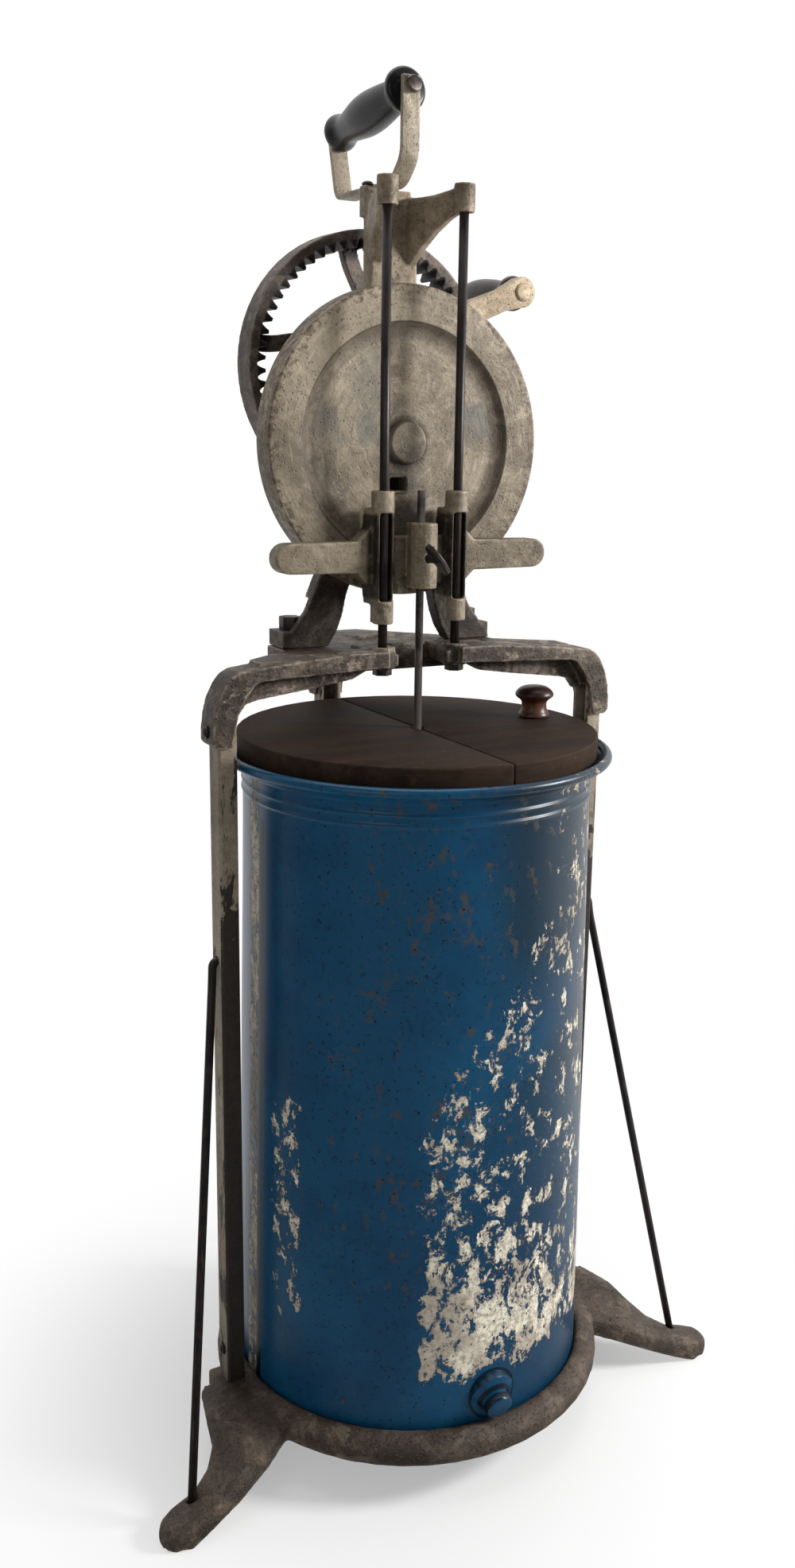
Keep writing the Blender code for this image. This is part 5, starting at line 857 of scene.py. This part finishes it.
# %% How a finished piece joins the object
def goes_with(piece, node, finish=None):
    """The piece is trim: it rides with the node's body and takes its slot and finish."""
    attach(piece, body_of(NODES[node])[0])
    piece.data.materials.clear()
    piece.data.materials.append(finish or FINISHES[SLOTS[node]])


def stands_for(piece, node, finish=None):
    """The piece goes with the node and is shown instead of it."""
    goes_with(piece, node, finish)
    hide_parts(node)


# %% [markdown]
# ## The can
# Tinplate rolled to a slight taper, with its edges folded together in one upright seam, two fine beads
# under the flared mouth and a rolled rim. It is one lathe profile, outside and inside, whose outside
# swells over the seam and over the beads. Angles crowd together at the seam, so that it stays crisp.

# %% Roll the can
FOOT_Z, NECK_Z, FLARE_Z, LEDGE_Z, RIM_Z = 0.0420, 0.4800, 0.5000, 0.5090, 0.5107
FOOT_R, NECK_R, LEDGE_R, RIM_R = 0.1307, 0.1236, 0.1296, 0.1348
RIM_BEAD_R, SHEET = 0.0035, 0.0011
BEAD_DROPS, BEAD_PROUD, BEAD_WIDTH = (0.0072, 0.0142), 0.0011, 0.0013
SEAM_HALF_TURN, SEAM_PROUD, DENT_DEPTH = 0.038, 0.0100, 0.0022


def can_profile():
    """Outside up, over the rim's round bead, and inside down: radii and heights of a closed loop."""
    body_z = np.linspace(FOOT_Z, NECK_Z, 40)
    body_r = FOOT_R + (NECK_R - FOOT_R) * (body_z - FOOT_Z) / (NECK_Z - FOOT_Z)
    neck_z = np.linspace(NECK_Z, FLARE_Z, 44)[1:]
    beads = sum(np.exp(-(((neck_z - FLARE_Z + drop) / BEAD_WIDTH) ** 2)) for drop in BEAD_DROPS)
    neck_r = NECK_R + BEAD_PROUD * beads
    flare_line = [(NECK_R, FLARE_Z), (NECK_R + 0.0012, FLARE_Z + 0.002), (LEDGE_R + SHEET, LEDGE_Z - 0.0022)]
    flare = eased(flare_line, 0.003)[1:]
    rolled = np.radians(np.linspace(-60, 190, 26))
    rim = np.stack([RIM_R + RIM_BEAD_R * np.cos(rolled), RIM_Z + RIM_BEAD_R * np.sin(rolled)], axis=1)
    neck_in = NECK_R - SHEET
    inside = [(LEDGE_R, LEDGE_Z), (neck_in, FLARE_Z), (neck_in, NECK_Z), (FOOT_R - SHEET, FOOT_Z)]
    outside = np.concatenate([np.stack([body_r, body_z], 1), np.stack([neck_r, neck_z], 1), flare, rim])
    return np.concatenate([outside, inside, outside[:1]])


def can_swell(angle, height):
    """The radius as a share of the profile's: a folded seam 10 mm wide that stands 1.3 mm proud below the
    neck, and soft dents under a third of a millimetre deep, waves round and up multiplied."""
    off_seam = (angle - SEAM_ANGLE % math.tau + math.pi) % math.tau - math.pi
    seam = SEAM_PROUD * np.exp(-((off_seam / SEAM_HALF_TURN) ** 8)) * (height < NECK_Z - 0.004)
    waves = np.sin(3 * angle + 9 * height) * np.sin(14 * height + 2 * angle)
    return 1 + seam + DENT_DEPTH * waves * (height < NECK_Z)


near_seam = SEAM_ANGLE % math.tau + np.linspace(-0.060, 0.060, 49)
can_angles = np.unique(np.concatenate([np.linspace(0, math.tau, 193), near_seam]))
can = turned("can_body", can_profile(), (0, AXIS_Y, 0), sides=can_angles, shape=can_swell)
stands_for(can, "can")
print("can", len(can.data.polygons), "faces; widest", round(max(np.ravel(can.bound_box)), 4))

# %% [markdown]
# ## The drain
# A domed flange soldered to the can's foot carries a short spout with a screwed cap. Their places come
# from the frame, so the copies only get rounder edges.

# %% Dress the drain
stands_for(eased_solid("drain_flange", "drain_spout", 0.0006, 3), "drain_spout")
stands_for(eased_solid("drain_screw_cap", "drain_cap", 0.0012, 3), "drain_cap")

# %% [markdown]
# ## The lid and its knob
# Two half rounds of board meet over the can's axis, and the right half has a turned knob. The boards
# are sawn and sanded, so rounded edges are enough; the knob is turned on the lathe with a waist and a
# dark dome.

# %% Cut the lid and turn the knob
for side in ("left", "right"):
    stands_for(eased_solid("lid_board_" + side, "lid_" + side, 0.0014, 3), "lid_" + side)

KNOB_LOW, KNOB_TOP = (float(corner[2]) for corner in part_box("lid_knob"))
KNOB_X = float(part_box("lid_knob")[0][0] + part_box("lid_knob")[1][0]) / 2
knob_shares = [(0.0, 1.0), (0.0075, 0.975), (0.0120, 0.88), (0.0145, 0.73), (0.0138, 0.64), (0.0096, 0.52)]
knob_shares += [(0.0090, 0.38), (0.0098, 0.20), (0.0113, 0.10), (0.0113, 0.0), (0.0, 0.0)]
knob_line = [(radius, KNOB_LOW + (KNOB_TOP - KNOB_LOW) * share) for radius, share in knob_shares]
knob = turned("lid_knob_turned", eased(knob_line, 0.004), (KNOB_X, AXIS_Y, 0), sides=64)


def knob_wood(name):
    """Orange-brown wood that darkens to red-brown over the dome."""
    wood = Finish(name)
    grain = wood.noise(70.0, 6.0, 0.6, stretch=(1.0, 1.0, 0.25))
    side = wood.mix(wood.band(grain, 0.35, 0.65), "3f2519", "683f28")
    dome = wood.mix(wood.band(grain, 0.35, 0.65), "2a1816", "3a2321")
    colour = wood.mix(wood.band(wood.axis(UP), KNOB_LOW + 0.0150, KNOB_LOW + 0.0185), side, dome)
    rough = wood.sum(wood.times(grain, 0.2), 0.28)
    return wood.done(colour, rough, grain, depth=0.0002, strength=0.4, Specular_IOR_Level=0.4)


FINISHES["knob_wood"] = knob_wood("knob_wood_turned")
stands_for(knob, "lid_knob")

# %% [markdown]
# ## The base casting
# A heavy ring with three legs that flow into round toes, cast in one piece. The frame has its form, and
# the skin is laid anew in two-millimetre cells and worn down, which gives the soft hollows between
# ring and leg that a pattern maker's fillets leave.

# %% Cast the base
stands_for(cast("base_ring_cast", "base_casting", 0.0020, 4), "base_casting")

# %% [markdown]
# ## Uprights, rivets and stays
# Flat bars rise from the ring to the bridge, riveted at both ends, and thin rods brace them.

# %% Dress the uprights
for side in ("left", "right", "rear"):
    bar = eased_solid("upright_bar_" + side, "upright_" + side, 0.0009, 3)
    stands_for(bar, "upright_" + side, UPRIGHT_IRON)
    stands_for(smooth_solid("stay_rod_" + side, "brace_" + side, 60), "brace_" + side)
    for level_name in ("lower", "upper"):
        rivet = "rivet_" + level_name + "_" + side
        stands_for(smooth_solid(rivet + "_dome", rivet, 60), rivet)

# %% [markdown]
# ## The bridge and the head frame
# Two more castings, smaller and finer than the base, so their cells are one millimetre.

# %% Cast the bridge and the head frame
stands_for(cast("bridge_cast", "top_bridge", 0.0010, 3), "top_bridge")
stands_for(cast("head_frame_cast", "head_frame", 0.0010, 3), "head_frame", HEAD_IRON)
for side in ("left", "right"):
    stands_for(eased_solid("frame_bolt_hex_" + side, "frame_bolt_" + side, 0.0006, 2), "frame_bolt_" + side)
    stands_for(eased_solid("frame_nut_hex_" + side, "frame_nut_" + side, 0.0006, 2), "frame_nut_" + side)
    stands_for(smooth_solid("guide_rod_round_" + side, "guide_rod_" + side), "guide_rod_" + side)
    stands_for(eased_solid("rod_nut_hex_" + side, "rod_nut_" + side, 0.0005, 2), "rod_nut_" + side)

# %% [markdown]
# ## The carrying handle
# A bar bent up at both ends holds a turned grip on a long screw. The grip's wide flanges, waists and
# belly are one lathe profile along its slanting axis.

# %% Bend the strap and turn the grips
def grip_profile(length, near, far, waist, belly, bore):
    """A grip's closed profile from its near flange to its far one: radii and distances along the axis."""
    outside = [(near * 0.80, 0.0), (near * 0.97, 0.012), (near, 0.045), (near * 0.93, 0.075)]
    outside += [(waist * 1.02, 0.120), (waist * 1.04, 0.16), (belly * 0.88, 0.30), (belly, 0.47)]
    outside += [(belly * 0.985, 0.60), (waist * 1.06, 0.80), (waist, 0.865), (far * 0.94, 0.935)]
    outside += [(far, 0.965), (far * 0.96, 0.99), (far * 0.80, 1.0)]
    line = [(radius, share * length) for radius, share in outside]
    return np.vstack([[(bore, 0.0)], eased(line, 0.006), [(bore, length), (bore, 0.0)]])


def grip_between(name, node, joint, near, far, waist, belly, bore):
    """Turns a grip on its joint's axis between the ends of its CAD solid."""
    row = next(row for row in frame["joints"] if row["name"] == joint)
    along = np.array(row["axis"], float)
    centre = np.array(row["pos_m"], float)
    points = np.empty(len(NODES[node].data.vertices) * 3)
    NODES[node].data.vertices.foreach_get("co", points)
    reach = (points.reshape(-1, 3) - centre) @ along
    profile = grip_profile(float(np.ptp(reach)), near, far, waist, belly, bore)
    return turned(name, profile, centre + along * reach.min(), along, sides=80)


top_radii = {"near": 0.0148, "far": 0.0130, "waist": 0.0100, "belly": 0.0140, "bore": 0.0034}
crank_radii = {"near": 0.0138, "far": 0.0122, "waist": 0.0100, "belly": 0.0145, "bore": 0.0044}
stands_for(grip_between("carrying_grip", "top_grip", "top_grip_spin", **top_radii), "top_grip")
crank_grip = grip_between("turning_grip", "crank_grip", "crank_grip_spin", **crank_radii)
stands_for(crank_grip, "crank_grip", CRANK_LACQUER)
stands_for(eased_solid("handle_strap_bar", "handle_strap", 0.0008, 3), "handle_strap")
for node, steel in (("handle_bolt", None), ("strap_screw", None), ("handle_rod", BRIGHT_STEEL)):
    stands_for(eased_solid(node + "_head", node, 0.0005, 2, angle=40), node, steel)

# %% [markdown]
# ## The disc
# The iron disc has a broad flat rim, a cove inside it, a recessed web and a hub. It is turned on its
# own axis; a real slot is then cut through the web, and a raised border is bent round the slot.

# %% Turn the disc
DISC_FRONT, DISC_REAR = (float(corner[1]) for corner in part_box("flywheel_disc"))
DISC_R, HUB_PROUD = 0.1045, 0.0011
FACE = DISC_FRONT + HUB_PROUD
WEB = FACE + 0.0042
WEB_BACK = DISC_REAR - 0.0081
disc_line = [
    (0.0, DISC_FRONT), (0.0135, DISC_FRONT), (0.0150, WEB), (0.0680, WEB), (0.0755, FACE + 0.0035),
    (0.0797, FACE), (DISC_R, FACE), (DISC_R, DISC_REAR), (0.0862, DISC_REAR), (0.0848, WEB_BACK),
    (0.0238, WEB_BACK), (0.0220, DISC_REAR), (0.0, DISC_REAR),
]
disc_ease = [0.0, 0.0012, 0.0012, 0.003, 0.004, 0.0012, 0.0018, 0.0018, 0.0012, 0.0015, 0.0015, 0.0012, 0.0]
disc = turned("wheel_disc", eased(disc_line, disc_ease, 6), (0, 0, WHEEL_Z), (0, 1, 0), sides=192)

SLOT_LOW, SLOT_HIGH = (-0.0127, 0.6900), (0.0, 0.6987)


def slot_line(grow, ease):
    """The slot's outline in the disc's plane, grown by some distance, as a closed line."""
    left, low = np.array(SLOT_LOW) - grow
    right_edge, high = np.array(SLOT_HIGH) + grow
    return eased([(left, low), (right_edge, low), (right_edge, high), (left, high)], ease, closed=True)


def at_depth(line, depth):
    """A flat line of the disc's plane as points at one depth."""
    return np.stack([line[:, 0], np.full(len(line), depth), line[:, 1]], 1)


slot_edge = slot_line(0.0, 0.0016)
walls = np.stack([at_depth(slot_edge, depth) for depth in (WEB - 0.02, WEB + 0.03)])
ends = np.broadcast_to(walls.mean(axis=1, keepdims=True), walls.shape)
punch = skin("slot_punch", np.concatenate([ends[:1], walls, ends[1:]]))
hole = disc.modifiers.new("slot", "BOOLEAN")
hole.operation = "DIFFERENCE"
hole.solver = "EXACT"
hole.object = punch
settled(disc)
disc.data.set_sharp_from_angle(angle=SHARP_FROM)
bpy.data.objects.remove(punch)
stands_for(disc, "flywheel_disc", DISC_IRON)

oval_angle = np.linspace(0, math.tau, 13)
oval = np.stack([0.0021 * np.cos(oval_angle), 0.0013 * np.sin(oval_angle)], 1)
slot_border = swept("slot_border", at_depth(slot_line(0.0012, 0.0026), WEB), oval, (0, 1, 0))
goes_with(slot_border, "flywheel_disc", DISC_IRON)
for node in ("flywheel_shaft", "crank_pin"):
    stands_for(eased_solid(node + "_steel", node, 0.0006, 2, angle=40), node)
print("disc", len(disc.data.polygons), "faces")

# %% [markdown]
# ## The gears and the crank
# The big gear has its teeth inside its rim and five curved spokes; a small pinion on the disc's shaft
# runs in it. The gear and the crank arm are castings; the pinion is cut.

# %% Cast the gear and the crank
stands_for(cast("ring_gear_cast", "ring_gear", 0.00085, 1), "ring_gear", RING_GEAR_IRON)
stands_for(eased_solid("pinion_cut", "pinion", 0.0003, 2), "pinion")
stands_for(cast("crank_arm_cast", "crank_arm", 0.0008, 3), "crank_arm", CRANK_IRON)
stands_for(eased_solid("crank_spindle_steel", "crank_spindle", 0.0006, 2, angle=40), "crank_spindle")
stands_for(eased_solid("grip_pin_steel", "grip_pin", 0.0005, 2, angle=40), "grip_pin", CRANK_IRON)

# %% [markdown]
# ## The crosshead
# The crosshead's wings hold the yoke in which the disc's pin slides, its collars run on the guide rods,
# and its boss grips the dasher's rod with a thumb screw.

# %% Cast the crosshead and its fittings
stands_for(cast("crosshead_cast", "crosshead", 0.0008, 2), "crosshead", CROSSHEAD_IRON)
stands_for(eased_solid("yoke_block_cut", "yoke_block", 0.0006, 2), "yoke_block")
stands_for(cast("thumb_screw_forged", "thumb_screw", 0.0004, 5), "thumb_screw")
stands_for(smooth_solid("dasher_rod_round", "dasher_rod"), "dasher_rod", ROD_STEEL)
stands_for(eased_solid("dasher_disc", "dasher", 0.0010, 2), "dasher")

# %% Paint the can's own floor
can_floor = NODES["can_floor"]
if not can_floor.material_slots:
    can_floor.data.materials.append(None)
for place in can_floor.material_slots:
    place.link = "OBJECT"
    place.material = FINISHES[SLOTS["can_floor"]]

# %% [markdown]
# ## The floor
# A plain pale floor takes the soft shadow. Away from the churn it fades to the white of the room, where
# the camera or a shiny surface sees it, so that no horizon shows.

# %% Lay the floor
FLOOR_HALF = 6.0
floor_corners = [(x * FLOOR_HALF, y * FLOOR_HALF, 0.0) for x, y in ((-1, -1), (1, -1), (1, 1), (-1, 1))]
floor_mesh = bpy.data.meshes.new("floor")
floor_mesh.from_pydata(floor_corners, [], [(0, 1, 2, 3)])
floor = shown("floor", floor_mesh)
white = Finish("white_floor")
white.done("f2f2f1", 0.9)
glow = white.node("ShaderNodeEmission")
paths = white.node("ShaderNodeLightPath")
glints = white.sum(paths.outputs["Is Glossy Ray"], paths.outputs["Is Transmission Ray"], "MAXIMUM")
here = white.times(paths.outputs["Is Camera Ray"], white.band(white.away(CAN_CENTRE), 0.13, 0.42, 0.38, 1.0))
beyond = white.axis((math.sin(VIEW_TURN), math.cos(VIEW_TURN), 0.0), CAN_CENTRE)
lit = white.sum(paths.outputs["Is Camera Ray"], white.band(beyond, -0.40, 0.45, DIM_FRONT, 1.0), "MAXIMUM")
white.put(glow.inputs["Strength"], lit)
blend = white.node("ShaderNodeMixShader")
white.put(blend.inputs[0], white.sum(here, glints, "MAXIMUM"))
white.put(blend.inputs[1], white.shader.outputs[0])
white.put(blend.inputs[2], glow.outputs[0])
white.put(white.tree.nodes["Material Output"].inputs[0], blend.outputs[0])
floor.data.materials.append(white.material)
